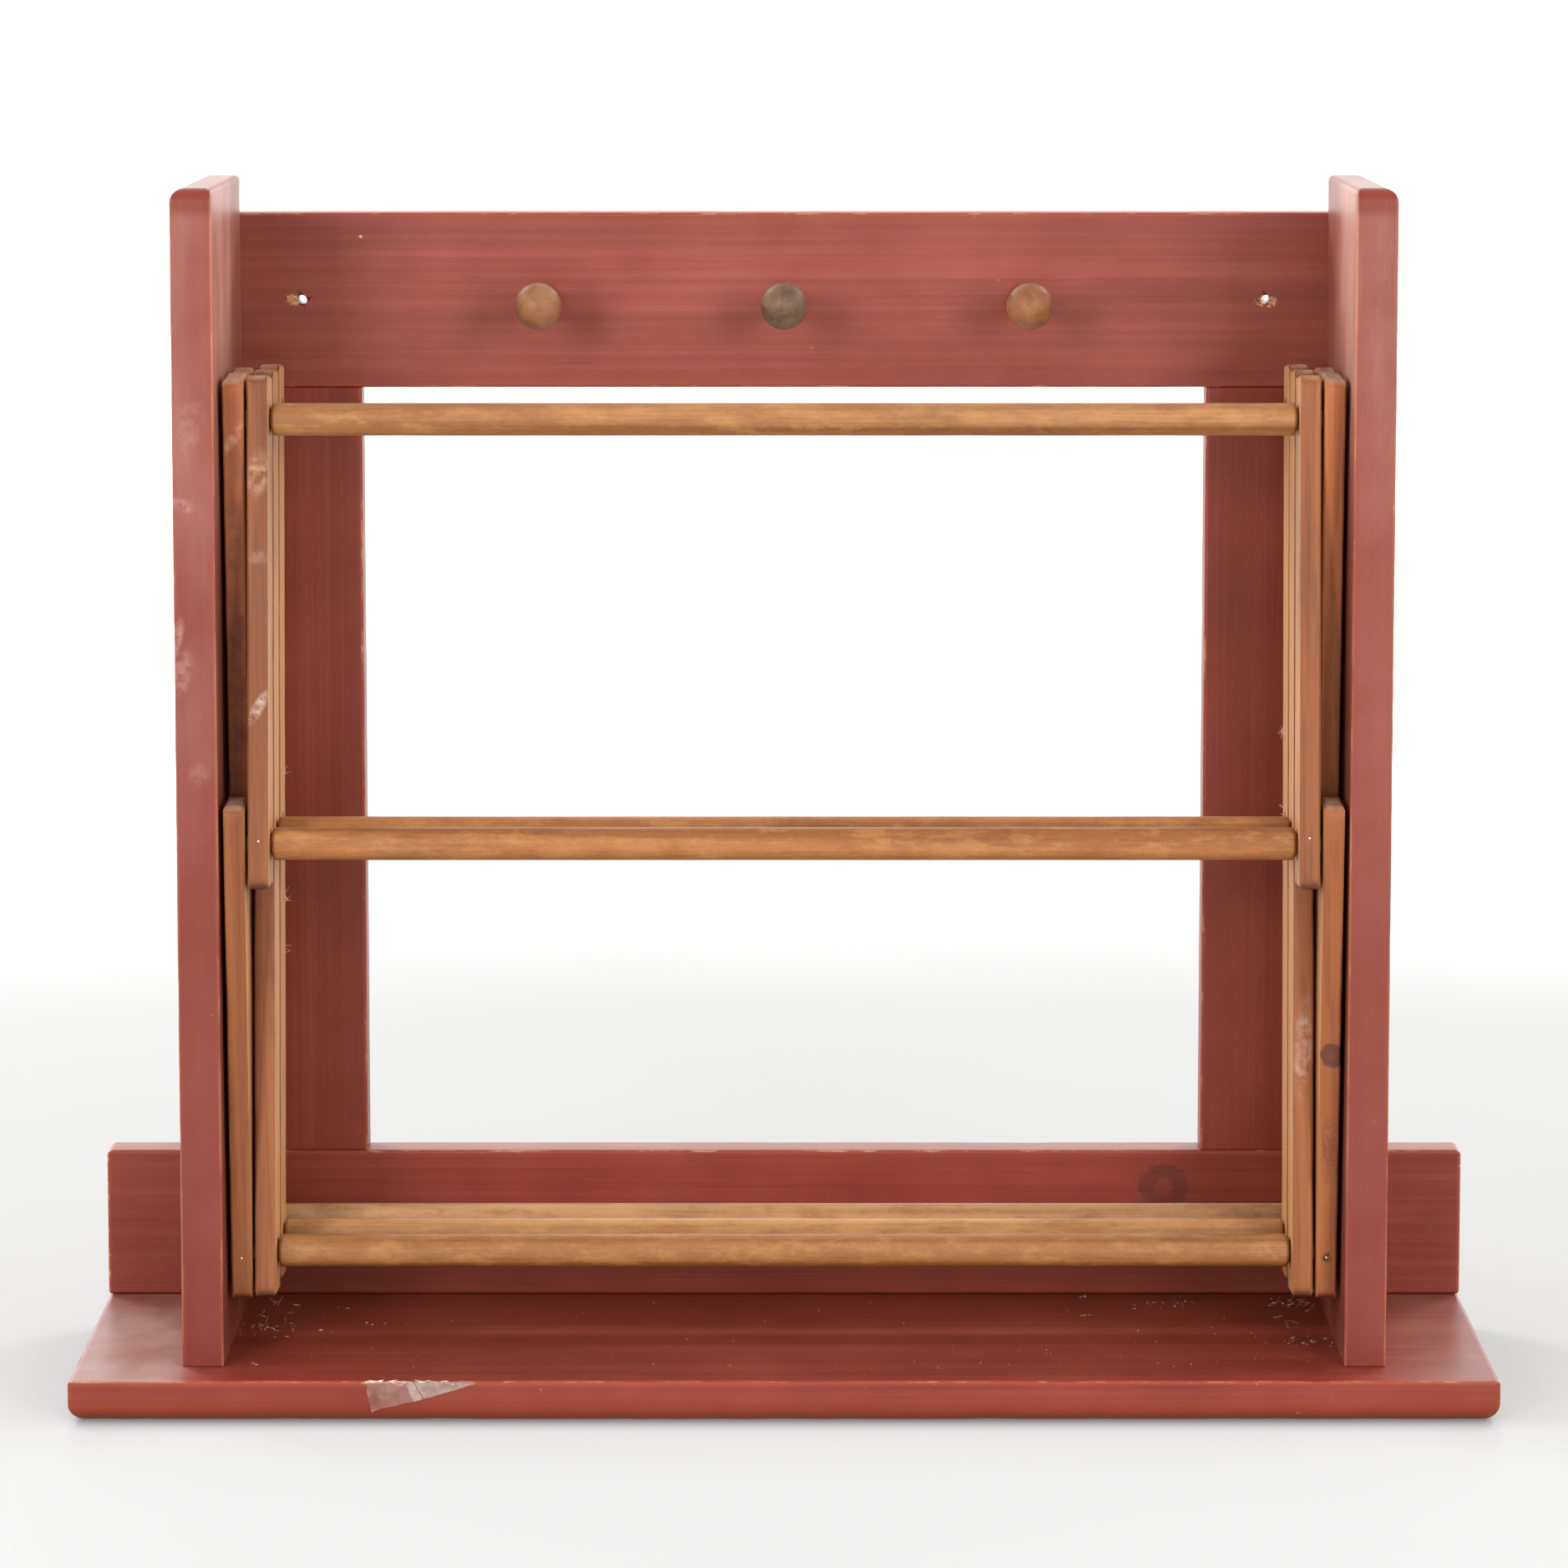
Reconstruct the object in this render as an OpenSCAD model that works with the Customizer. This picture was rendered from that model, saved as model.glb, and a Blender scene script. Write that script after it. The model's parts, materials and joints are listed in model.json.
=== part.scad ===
// Wall shelf frame with pegs and a folding accordion drying rack.
// Lengths are in millimetres, +Z is up, and the rack opens towards -Y.
// The origin is on the ground, at the middle of the shelf's outline.

/* [Shelf frame] */
// Thickness of every board of the frame
board_t = 19; // [15:0.5:24]
// Shelf length, side to side
shelf_w = 648; // [620:1:780]
// Shelf depth, front to back
shelf_d = 184; // [176:1:230]
// Height of the board that stands along the shelf's back edge
cleat_h = 70.5; // [60:0.5:80]
// Width over the outer faces of the two side boards
frame_w = 549; // [480:1:600]
// Height of the side boards above the shelf
side_h = 537; // [530:1:645]
// Distance from the shelf's front edge back to the side boards' front edges
side_setback = 26; // [15:1:32]
// Height of the peg rail
rail_h = 82.5; // [50:0.5:90]
// Distance from the side boards' top ends down to the peg rail's top edge
rail_drop = 18; // [5:0.5:30]
// Width of each upright stile behind the side boards
stile_w = 75.5; // [45:0.5:90]

/* [Edges] */
// Round-over along the shelf's lower front and end edges
shelf_round = 7; // [2:0.5:9]
// Small rounding on the other long edges that hands touch
arris = 1.5; // [0.5:0.1:2]
// Rounding of the side boards' tops
side_round = 6.5; // [2:0.5:9]
// Rounding of the upper corners of the board behind the shelf
cleat_round = 3; // [1:0.5:10]

/* [Pegs] */
// Distance between neighbouring pegs
peg_pitch = 114; // [60:1:140]
// How far a peg stands out from the rail
peg_reach = 52; // [40:1:58]
// Diameter of a peg's round head
peg_head_d = 22; // [18:0.5:28]
// Diameter of a peg's collar against the rail
peg_collar_d = 16; // [14:0.5:20]
// Diameter of a peg's neck at its thinnest
peg_neck_d = 10.5; // [8:0.5:12]
// Diameter of the tenon that holds a peg in the rail
peg_tenon_d = 12.7; // [8:0.1:13]
// Depth of a peg's tenon in the rail
peg_tenon_l = 14; // [8:0.5:14.5]

/* [Wall holes] */
// Distance between the two wall screw holes in the rail
wall_hole_pitch = 454; // [360:1:460]
// Diameter of a wall screw hole
wall_hole_d = 4.8; // [4:0.1:6]

/* [Rack] */
// Height from the shelf's top face up to the lowest row of pivots
rack_rise = 47; // [30:1:60]
// Height between neighbouring rows of pivots when the rack is folded
row_rise = 192; // [150:1:196]
// Depth from one pivot to the next along a row when the rack is folded
pivot_pitch = 32; // [30:0.5:39]
// Distance from the boards behind the rack forward to the fixed axle
axle_inset = 44; // [38:1:50]
// Thickness of a rack slat
slat_t = 9.6; // [8:0.1:12]
// Width of a rack slat
slat_w = 25; // [20:0.5:27]
// Length of a slat past its end pivots
slat_over = 20; // [14:0.5:24]
// Radius of a slat's rounded corners
slat_round = 5; // [2:0.5:9]
// Gap between a side board and the rack's outer slats
side_gap = 2; // [1:0.1:4]
// Gap between the outer and the inner layer of slats
layer_gap = 1.4; // [0.8:0.1:3]
// Diameter of a rack dowel
dowel_d = 15; // [12:0.5:18]
// Length of the eased shoulder at a dowel's end
dowel_ease = 2; // [0.5:0.1:3]
// Diameter of the tenon at each end of a dowel, and of a pivot pin
tenon_d = 8; // [6:0.1:10]
// Turn of the rearmost slats from folded to fully open, in degrees
open_turn = 50; // [20:1:55]

/* [Fits] */
// Radial clearance of a tenon or pin that turns in its hole
turn_clear = 0.05; // [0.02:0.01:0.09]
// Radial bite of a tenon or pin that is glued or pressed into its hole
glue_bite = 0.05; // [0.02:0.01:0.1]
// Flat clearance beside a part that turns or slides
face_clear = 0.3; // [0.2:0.1:0.5]
// Depth of the fixed axle's hole in a side board
axle_hole_depth = 10; // [6:0.5:12]
// Depth of the groove that guides the rack's rear pins
groove_depth = 5; // [3:0.5:8]
// Sideways clearance of a guide pin in its groove, on each side
groove_clear = 0.3; // [0.2:0.1:0.8]
// Length of groove past the guide pin at each end of its travel
groove_spare = 3; // [1:0.5:8]

/* [Fasteners] */
// Diameter of a frame screw's shank
screw_d = 4.2; // [3.5:0.1:5]
// Length of a frame screw
screw_l = 44; // [36:1:50]
// Diameter of a frame screw's countersunk head
screw_head_d = 8.4; // [7:0.1:10]
// Height of a frame screw's countersunk head
screw_head_h = 2.8; // [2:0.1:4]
// Diameter of a frame nail's shank
nail_d = 2.5; // [2:0.1:3.5]
// Length of a frame nail
nail_l = 50; // [36:1:60]
// Diameter of a frame nail's head
nail_head_d = 5; // [4:0.1:7]
// Depth that screw and nail heads lie below the face they are driven into
head_sink = 0.5; // [0.2:0.1:1]
// Diameter of a brad that locks a dowel in its slat
brad_d = 1.4; // [1:0.1:2]
// Length of a brad
brad_l = 15; // [12:0.5:16]
// Distance of a side board's lower screws in from its front and back edges
screw_inset = 28; // [20:1:40]
// Distance of the screws behind the shelf from their board's long edges
cleat_screw_inset = 16; // [12:1:24]
// Distance of the rail's nails from its long edges
rail_nail_inset = 18; // [12:1:22]
// Distance of a stile's end nails from its ends, as a share of its length
nail_share = 0.12; // [0.08:0.01:0.3]

/* [Hidden] */
$fn = 48;
bite = 0.1;
cut = 1;
shank_clear = 0.2;
head_clear = 0.1;
pilot_spare = 2;
screw_point_l = 6;
nail_point_l = 4;
point_d = 0.8;
nail_head_h = 1.2;
peg_chamfer = 0.5;

// Shares of a peg's reach where its profile changes, and how much its neck swells.
collar_to = 0.06;
waist_from = 0.14;
waist_mid = 0.44;
flare_from = 0.74;
head_from = 0.82;
neck_swell = 1;

front_y = -shelf_d / 2;
wall_y = shelf_d / 2;
back_y = wall_y - board_t;
side_y = front_y + side_setback;
side_in = frame_w / 2 - board_t;
side_mid = frame_w / 2 - board_t / 2;
side_top = board_t + side_h;
cleat_top = board_t + cleat_h;
rail_top = side_top - rail_drop;
rail_z = rail_top - rail_h;
peg_z = rail_z + rail_h / 2;

outer_out = side_in - side_gap;
outer_in = outer_out - slat_t;
inner_out = outer_in - layer_gap;
inner_in = inner_out - slat_t;
axle_y = back_y - axle_inset;
low_z = board_t + rack_rise;
mid_z = low_z + row_rise;
high_z = mid_z + row_rise;
half_bar = sqrt(pow(row_rise, 2) + pow(pivot_pitch / 2, 2));
fold_turn = atan2(pivot_pitch / 2, row_rise);
open_z = low_z + 2 * half_bar * cos(fold_turn + open_turn);

turn_d = tenon_d + 2 * turn_clear;
glue_d = tenon_d - 2 * glue_bite;
pin_out = outer_out - face_clear;

// Depth of a pivot, counted forward from the fixed axle in half pitches.
function pivot_y(steps) = axle_y - steps * pivot_pitch / 2;

paint = [0.60, 0.36, 0.30];
paint_dark = [0.45, 0.24, 0.20];
oak = [0.72, 0.50, 0.36];
birch = [0.76, 0.55, 0.35];
peg_wood = [0.42, 0.30, 0.17];
steel = [0.55, 0.53, 0.50];

// ---- Helpers ----

// Keeps the children for the right side and their mirror image for the left.
module both_sides() {
  children();
  mirror([1, 0, 0]) children();
}

// The left one of a pair that is drawn for the right side.
module left() {
  mirror([1, 0, 0]) children();
}

// Cutter that rounds the edge running along +X from the origin.
// The board lies on the +Y and +Z sides of that edge.
module round_edge(length, r) {
  difference() {
    translate([-cut, -cut, -cut]) cube([length + 2 * cut, r + cut, r + cut]);
    translate([-2 * cut, r, r]) rotate([0, 90, 0])
      cylinder(h = length + 4 * cut, r = r);
  }
}

// The same cutter for an edge along +Z, with the board on +X and +Y.
module round_edge_z(length, r) {
  difference() {
    translate([-cut, -cut, -cut]) cube([r + cut, r + cut, length + 2 * cut]);
    translate([r, r, -2 * cut]) cylinder(h = length + 4 * cut, r = r);
  }
}

// The same cutter for an edge along +Y, with the board on +X and +Z.
module round_edge_y(length, r) {
  difference() {
    translate([-cut, -cut, -cut]) cube([r + cut, length + 2 * cut, r + cut]);
    translate([r, -2 * cut, r]) rotate([-90, 0, 0])
      cylinder(h = length + 4 * cut, r = r);
  }
}

// A rod along X between two distances from the middle.
module rod_x(x0, x1, d) {
  translate([x0, 0, 0]) rotate([0, 90, 0]) cylinder(h = x1 - x0, d = d);
}

// Places children at the frame screws that come up through the shelf.
module at_shelf_screws() {
  for (side = [-1, 1])
    for (y = [side_y + screw_inset, back_y - screw_inset])
      translate([side * side_mid, y, 0]) children();
  for (x = [-shelf_w / 3, 0, shelf_w / 3])
    translate([x, wall_y - board_t / 2, 0]) children();
}

// Places children at the screws through the board behind the shelf, pointing forward.
module at_cleat_screws() {
  for (side = [-1, 1])
    for (z = [board_t + cleat_screw_inset, cleat_top - cleat_screw_inset])
      translate([side * side_mid, wall_y, z]) rotate([90, 0, 0]) children();
}

// Places children at the nails through the rail and stiles, pointing forward.
module at_nails() {
  for (side = [-1, 1]) {
    for (z = [rail_z + rail_nail_inset, rail_top - rail_nail_inset])
      translate([side * side_mid, wall_y, z]) rotate([90, 0, 0]) children();
    for (share = [nail_share, 0.5, 1 - nail_share])
      translate([side * side_mid, wall_y, cleat_top + share * (rail_z - cleat_top)])
        rotate([90, 0, 0]) children();
  }
}

// A countersunk wood screw driven along +Z from z = 0.
module screw() {
  translate([0, 0, head_sink]) cylinder(h = screw_head_h, d1 = screw_head_d, d2 = screw_d);
  translate([0, 0, head_sink]) cylinder(h = screw_l - screw_point_l, d = screw_d);
  translate([0, 0, head_sink + screw_l - screw_point_l])
    cylinder(h = screw_point_l, d1 = screw_d, d2 = point_d);
}

// The hole for a screw through the first board, with its countersink.
module screw_clearance(depth) {
  shank = screw_d + 2 * shank_clear;
  head = screw_head_d + 2 * head_clear;
  translate([0, 0, -cut]) cylinder(h = depth + 2 * cut, d = shank);
  translate([0, 0, head_sink]) cylinder(h = screw_head_h, d1 = head, d2 = shank);
  translate([0, 0, -cut]) cylinder(h = cut + head_sink, d = head);
}

// The pilot hole in the board that a screw's thread bites into.
module screw_pilot() {
  cylinder(h = head_sink + screw_l + pilot_spare, d = screw_d - 2 * bite);
}

// A flat-headed nail driven along +Z from z = 0.
module nail() {
  translate([0, 0, head_sink]) cylinder(h = nail_head_h, d = nail_head_d);
  translate([0, 0, head_sink]) cylinder(h = nail_l - nail_point_l, d = nail_d);
  translate([0, 0, head_sink + nail_l - nail_point_l])
    cylinder(h = nail_point_l, d1 = nail_d, d2 = point_d);
}

// The hole that a nail makes, a little smaller than the nail.
module nail_hole() {
  cylinder(h = head_sink + nail_l + pilot_spare, d = nail_d - 2 * bite);
  translate([0, 0, -cut])
    cylinder(h = cut + head_sink + nail_head_h, d = nail_head_d + 2 * head_clear);
}

// ---- Frame ----

module shelf() {
  color(paint_dark)
  difference() {
    translate([-shelf_w / 2, front_y, 0]) cube([shelf_w, shelf_d, board_t]);
    translate([-shelf_w / 2, front_y, 0]) round_edge(shelf_w, shelf_round);
    translate([-shelf_w / 2, front_y, board_t]) mirror([0, 0, 1]) round_edge(shelf_w, arris);
    both_sides() {
      translate([-shelf_w / 2, front_y, 0]) round_edge_y(shelf_d, shelf_round);
      translate([-shelf_w / 2, front_y, board_t]) mirror([0, 0, 1]) round_edge_y(shelf_d, arris);
    }
    at_shelf_screws() screw_clearance(board_t);
  }
}

module shelf_back_board() {
  color(paint)
  difference() {
    translate([-shelf_w / 2, back_y, board_t]) cube([shelf_w, board_t, cleat_h]);
    translate([-shelf_w / 2, back_y, cleat_top]) mirror([0, 0, 1]) round_edge(shelf_w, arris);
    both_sides()
      translate([-shelf_w / 2, back_y, cleat_top]) mirror([0, 0, 1])
        round_edge_y(board_t, cleat_round);
    at_cleat_screws() screw_clearance(board_t);
    at_shelf_screws() screw_pilot();
  }
}

// The right side board; the left one is its mirror image.
module side_board() {
  depth = back_y - side_y;
  difference() {
    translate([side_in, side_y, board_t]) cube([board_t, depth, side_h]);
    translate([side_in, side_y, side_top]) mirror([0, 0, 1]) round_edge(board_t, side_round);
    translate([side_in, back_y, side_top]) mirror([0, 1, 0]) mirror([0, 0, 1])
      round_edge(board_t, side_round);
    translate([side_in + board_t, side_y, side_top]) mirror([1, 0, 0]) mirror([0, 0, 1])
      round_edge_y(depth, side_round);
    translate([side_in, side_y, side_top]) mirror([0, 0, 1]) round_edge_y(depth, arris);
    translate([side_in, side_y, board_t]) round_edge_z(side_h, arris);
    translate([side_in + board_t, side_y, board_t]) mirror([1, 0, 0])
      round_edge_z(side_h, arris);
    translate([0, axle_y, low_z]) rod_x(side_in - cut, side_in + axle_hole_depth, turn_d);
    guide_groove();
    at_shelf_screws() screw_pilot();
    at_cleat_screws() screw_pilot();
    at_nails() nail_hole();
  }
}

// The upright groove in a side board that the rack's rear pins slide in.
module guide_groove() {
  width = tenon_d + 2 * groove_clear;
  bottom = open_z - groove_spare;
  top = high_z + groove_spare;
  translate([side_in - cut, axle_y - width / 2, bottom])
    cube([groove_depth + cut, width, top - bottom]);
  for (z = [bottom, top])
    translate([0, axle_y, z]) rod_x(side_in - cut, side_in + groove_depth, width);
}

module side_board_left() {
  color(paint) left() side_board();
}

module side_board_right() {
  color(paint) side_board();
}

// The right stile; the left one is its mirror image.
module stile() {
  inner_x = frame_w / 2 - stile_w;
  length = rail_z - cleat_top;
  difference() {
    translate([inner_x, back_y, cleat_top]) cube([stile_w, board_t, length]);
    translate([inner_x, back_y, cleat_top]) round_edge_z(length, arris);
    at_nails() nail_hole();
  }
}

module stile_left() {
  color(paint) left() stile();
}

module stile_right() {
  color(paint) stile();
}

module peg_rail() {
  color(paint)
  difference() {
    translate([-frame_w / 2, back_y, rail_z]) cube([frame_w, board_t, rail_h]);
    translate([-frame_w / 2, back_y, rail_top]) mirror([0, 0, 1]) round_edge(frame_w, arris);
    translate([-side_in, back_y, rail_z]) round_edge(2 * side_in, arris);
    for (x = [-peg_pitch, 0, peg_pitch])
      translate([x, back_y - cut, peg_z]) rotate([-90, 0, 0])
        cylinder(h = peg_tenon_l + 2 * cut, d = peg_tenon_d - 2 * glue_bite);
    for (side = [-1, 1])
      translate([side * wall_hole_pitch / 2, back_y - cut, peg_z]) rotate([-90, 0, 0])
        cylinder(h = board_t + 2 * cut, d = wall_hole_d);
    at_nails() nail_hole();
  }
}

// Radius of a peg at a share of its reach: collar, waisted neck, round head.
function peg_r(t) =
  let (collar = peg_collar_d / 2, neck = peg_neck_d / 2, swell = neck_swell)
  t < collar_to ? collar :
  t < waist_from ? collar + (neck + swell - collar) * (t - collar_to) / (waist_from - collar_to) :
  t < flare_from ? neck + swell * pow((t - waist_mid) / (flare_from - waist_mid), 2) :
  neck + swell + (peg_head_d / 2 - neck - swell) * sin(90 * (t - flare_from) / (head_from - flare_from));

// A turned peg standing along +Z, with its tenon below z = 0.
module peg() {
  head_h = (1 - head_from) * peg_reach;
  steps = 24;
  tenon_r = peg_tenon_d / 2;
  rotate_extrude() polygon(concat(
    [[0, -peg_tenon_l], [tenon_r - peg_chamfer, -peg_tenon_l],
     [tenon_r, -peg_tenon_l + peg_chamfer], [tenon_r, 0]],
    [for (i = [0 : steps]) let (t = i * head_from / steps) [peg_r(t), t * peg_reach]],
    [for (a = [10 : 10 : 80])
      [peg_head_d / 2 * cos(a), head_from * peg_reach + head_h * sin(a)]],
    [[0, peg_reach]]
  ));
}

module peg_at(x) {
  color(peg_wood) translate([x, back_y, peg_z]) rotate([90, 0, 0]) peg();
}

module peg_left() {
  peg_at(-peg_pitch);
}

module peg_middle() {
  peg_at(0);
}

module peg_right() {
  peg_at(peg_pitch);
}

module frame_screws() {
  color(steel) {
    at_shelf_screws() screw();
    at_cleat_screws() screw();
  }
}

module frame_nails() {
  color(steel) at_nails() nail();
}

// ---- Rack ----

// Flat outline of a slat lying along +X from pivot to pivot, with rounded corners.
module slat_outline(span) {
  w = slat_w / 2;
  translate([-slat_over + slat_round, -w]) square([span + 2 * (slat_over - slat_round), slat_w]);
  translate([-slat_over, -w + slat_round]) square([span + 2 * slat_over, slat_w - 2 * slat_round]);
  for (x = [-slat_over + slat_round, span + slat_over - slat_round])
    for (y = [-w + slat_round, w - slat_round])
      translate([x, y]) circle(r = slat_round);
}

// A right-hand slat whose inner face is at x0. It starts at the pivot "steps" forward of the
// axle at height z and rises to the next pivot of its line, leaning to the front (lean = 1)
// or to the back (lean = -1). Each hole is [share of the slat's span, diameter].
module slat(x0, steps, z, lean, halves, holes) {
  span = halves * half_bar;
  translate([x0, pivot_y(steps), z])
    rotate([lean * fold_turn, 0, 0]) rotate([0, -90, 0]) mirror([0, 0, 1])
      linear_extrude(height = slat_t) difference() {
        slat_outline(span);
        for (hole = holes)
          translate([hole[0] * half_bar, 0]) circle(d = hole[1]);
      }
}

// A dowel through the rack from side to side, with a tenon at each end.
module dowel(steps, z, shoulder, tip) {
  translate([0, pivot_y(steps), z]) {
    rod_x(-shoulder + dowel_ease, shoulder - dowel_ease, dowel_d);
    rod_x(-tip, tip, tenon_d);
    both_sides() translate([shoulder - dowel_ease, 0, 0]) rotate([0, 90, 0])
      cylinder(h = dowel_ease, d1 = dowel_d, d2 = dowel_d - 2 * dowel_ease);
  }
}

// A pair of plain pins through both layers of slats, reaching out to "tip".
module pins(steps, z, tip) {
  both_sides() translate([0, pivot_y(steps), z]) rod_x(inner_in + face_clear, tip, tenon_d);
}

// A pair of brads from the front edge of a slat at x0 into the tenon at its pivot.
module brads(x0, steps, z, lean) {
  both_sides() translate([x0 + slat_t / 2, pivot_y(steps), z])
    rotate([lean * fold_turn, 0, 0]) rotate([90, 0, 0])
      translate([0, 0, slat_w / 2 - head_sink - brad_l]) cylinder(h = brad_l, d = brad_d);
}

// Rearmost slats, outer layer, on the fixed axle.
module rear_outer_slat() {
  slat(outer_in, 0, low_z, 1, 2, [[0, glue_d], [1, turn_d], [2, turn_d]]);
}

module rear_outer_slat_left() {
  color(oak) left() rear_outer_slat();
}

module rear_outer_slat_right() {
  color(oak) rear_outer_slat();
}

module axle_dowel() {
  color(birch)
    dowel(0, low_z, outer_in - face_clear, side_in + axle_hole_depth - 2 * face_clear);
}

// Rearmost slats, inner layer, whose top ends ride in the guide grooves.
module rear_inner_slat() {
  slat(inner_in, 2, low_z, -1, 2, [[0, glue_d], [1, glue_d], [2, glue_d]]);
}

module rear_inner_slat_left() {
  color(oak) left() rear_inner_slat();
}

module rear_inner_slat_right() {
  color(oak) rear_inner_slat();
}

module lower_rear_dowel() {
  color(birch) dowel(2, low_z, inner_in - face_clear, pin_out);
}

module middle_pins() {
  color(birch) pins(1, mid_z, pin_out);
}

module guide_pins() {
  color(birch) pins(0, high_z, side_in + groove_depth - 2 * face_clear);
}

// Front slats, outer layer.
module front_outer_slat() {
  slat(outer_in, 2, low_z, 1, 2, [[0, turn_d], [1, turn_d], [2, glue_d]]);
}

module front_outer_slat_left() {
  color(oak) left() front_outer_slat();
}

module front_outer_slat_right() {
  color(oak) front_outer_slat();
}

module upper_front_dowel() {
  color(birch) dowel(4, high_z, inner_in - face_clear, pin_out);
}

// Front slats, inner layer.
module front_inner_slat() {
  slat(inner_in, 4, low_z, -1, 2, [[0, turn_d], [1, glue_d], [2, glue_d]]);
}

module front_inner_slat_left() {
  color(oak) left() front_inner_slat();
}

module front_inner_slat_right() {
  color(oak) front_inner_slat();
}

module middle_rear_dowel() {
  color(birch) dowel(3, mid_z, inner_in - face_clear, pin_out);
}

module upper_pins() {
  color(birch) pins(2, high_z, pin_out);
}

// Short slats at the front: the upper pair, inner layer.
module upper_half_slat() {
  slat(inner_in, 5, mid_z, -1, 1, [[0, glue_d], [1, turn_d]]);
}

module upper_half_slat_left() {
  color(oak) left() upper_half_slat();
}

module upper_half_slat_right() {
  color(oak) upper_half_slat();
}

module middle_front_dowel() {
  color(birch) dowel(5, mid_z, inner_in - face_clear, pin_out);
}

module upper_half_brads() {
  color(steel) brads(inner_in, 5, mid_z, -1);
}

// Short slats at the front: the lower pair, outer layer.
module lower_half_slat() {
  slat(outer_in, 4, low_z, 1, 1, [[0, glue_d], [1, turn_d]]);
}

module lower_half_slat_left() {
  color(oak) left() lower_half_slat();
}

module lower_half_slat_right() {
  color(oak) lower_half_slat();
}

module lower_front_dowel() {
  color(birch) dowel(4, low_z, inner_in - face_clear, pin_out);
}

module lower_half_brads() {
  color(steel) brads(outer_in, 4, low_z, 1);
}

// ---- Assembly ----

shelf();
shelf_back_board();
side_board_left();
side_board_right();
stile_left();
stile_right();
peg_rail();
peg_left();
peg_middle();
peg_right();
frame_screws();
frame_nails();
rear_outer_slat_left();
rear_outer_slat_right();
axle_dowel();
rear_inner_slat_left();
rear_inner_slat_right();
lower_rear_dowel();
middle_pins();
guide_pins();
front_outer_slat_left();
front_outer_slat_right();
upper_front_dowel();
front_inner_slat_left();
front_inner_slat_right();
middle_rear_dowel();
upper_pins();
upper_half_slat_left();
upper_half_slat_right();
middle_front_dowel();
upper_half_brads();
lower_half_slat_left();
lower_half_slat_right();
lower_front_dowel();
lower_half_brads();
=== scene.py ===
"""Looks of a folding accordion drying rack in a red painted shelf frame.

Every length is in metres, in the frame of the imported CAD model: +Z up, the front towards -Y.
"""

import json
import math
import random

import bpy
import bmesh
from mathutils import Matrix, Vector, noise


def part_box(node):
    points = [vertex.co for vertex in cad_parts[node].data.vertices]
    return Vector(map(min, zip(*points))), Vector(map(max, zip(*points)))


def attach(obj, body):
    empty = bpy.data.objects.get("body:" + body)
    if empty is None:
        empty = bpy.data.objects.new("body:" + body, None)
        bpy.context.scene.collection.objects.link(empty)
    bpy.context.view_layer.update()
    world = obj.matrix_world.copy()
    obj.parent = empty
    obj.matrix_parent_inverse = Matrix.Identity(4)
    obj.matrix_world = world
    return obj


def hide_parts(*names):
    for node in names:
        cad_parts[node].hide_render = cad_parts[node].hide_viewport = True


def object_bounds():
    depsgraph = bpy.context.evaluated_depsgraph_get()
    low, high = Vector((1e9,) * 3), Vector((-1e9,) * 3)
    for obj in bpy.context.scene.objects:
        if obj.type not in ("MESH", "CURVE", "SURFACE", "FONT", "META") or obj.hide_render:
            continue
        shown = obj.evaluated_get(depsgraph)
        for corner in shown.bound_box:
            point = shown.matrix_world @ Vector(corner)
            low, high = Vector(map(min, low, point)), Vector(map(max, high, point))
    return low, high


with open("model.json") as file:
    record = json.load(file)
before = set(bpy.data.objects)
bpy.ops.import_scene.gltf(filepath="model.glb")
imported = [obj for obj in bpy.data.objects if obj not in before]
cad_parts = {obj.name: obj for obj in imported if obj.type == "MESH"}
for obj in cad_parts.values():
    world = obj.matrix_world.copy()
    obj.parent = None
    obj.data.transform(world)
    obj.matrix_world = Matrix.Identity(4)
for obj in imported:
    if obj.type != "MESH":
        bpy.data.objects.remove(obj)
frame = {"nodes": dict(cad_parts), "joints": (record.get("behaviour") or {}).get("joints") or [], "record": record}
CAD_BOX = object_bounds()
MM = 0.001
SIDES = ("left", "right")
X, Y, Z = 0, 1, 2


def linear(red, green, blue):
    """A linear colour from 0-255 display values."""
    def channel(value):
        share = value / 255
        return share / 12.92 if share <= 0.04045 else ((share + 0.055) / 1.055) ** 2.4
    return (channel(red), channel(green), channel(blue), 1.0)


def add_object(name, data):
    """Puts an object with this data in the scene."""
    made = bpy.data.objects.new(name, data)
    bpy.context.scene.collection.objects.link(made)
    return made


# -------- node trees

class Value:
    """What a node gives out; arithmetic on it adds Math nodes to the same tree."""

    def __init__(self, nodes, socket):
        self.nodes = nodes
        self.socket = socket

    def __add__(self, other):
        return self.nodes.math("ADD", self, other)

    def __sub__(self, other):
        return self.nodes.math("SUBTRACT", self, other)

    def __rsub__(self, other):
        return self.nodes.math("SUBTRACT", other, self)

    def __mul__(self, other):
        return self.nodes.math("MULTIPLY", self, other)

    def __abs__(self):
        return self.nodes.math("ABSOLUTE", self)


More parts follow.
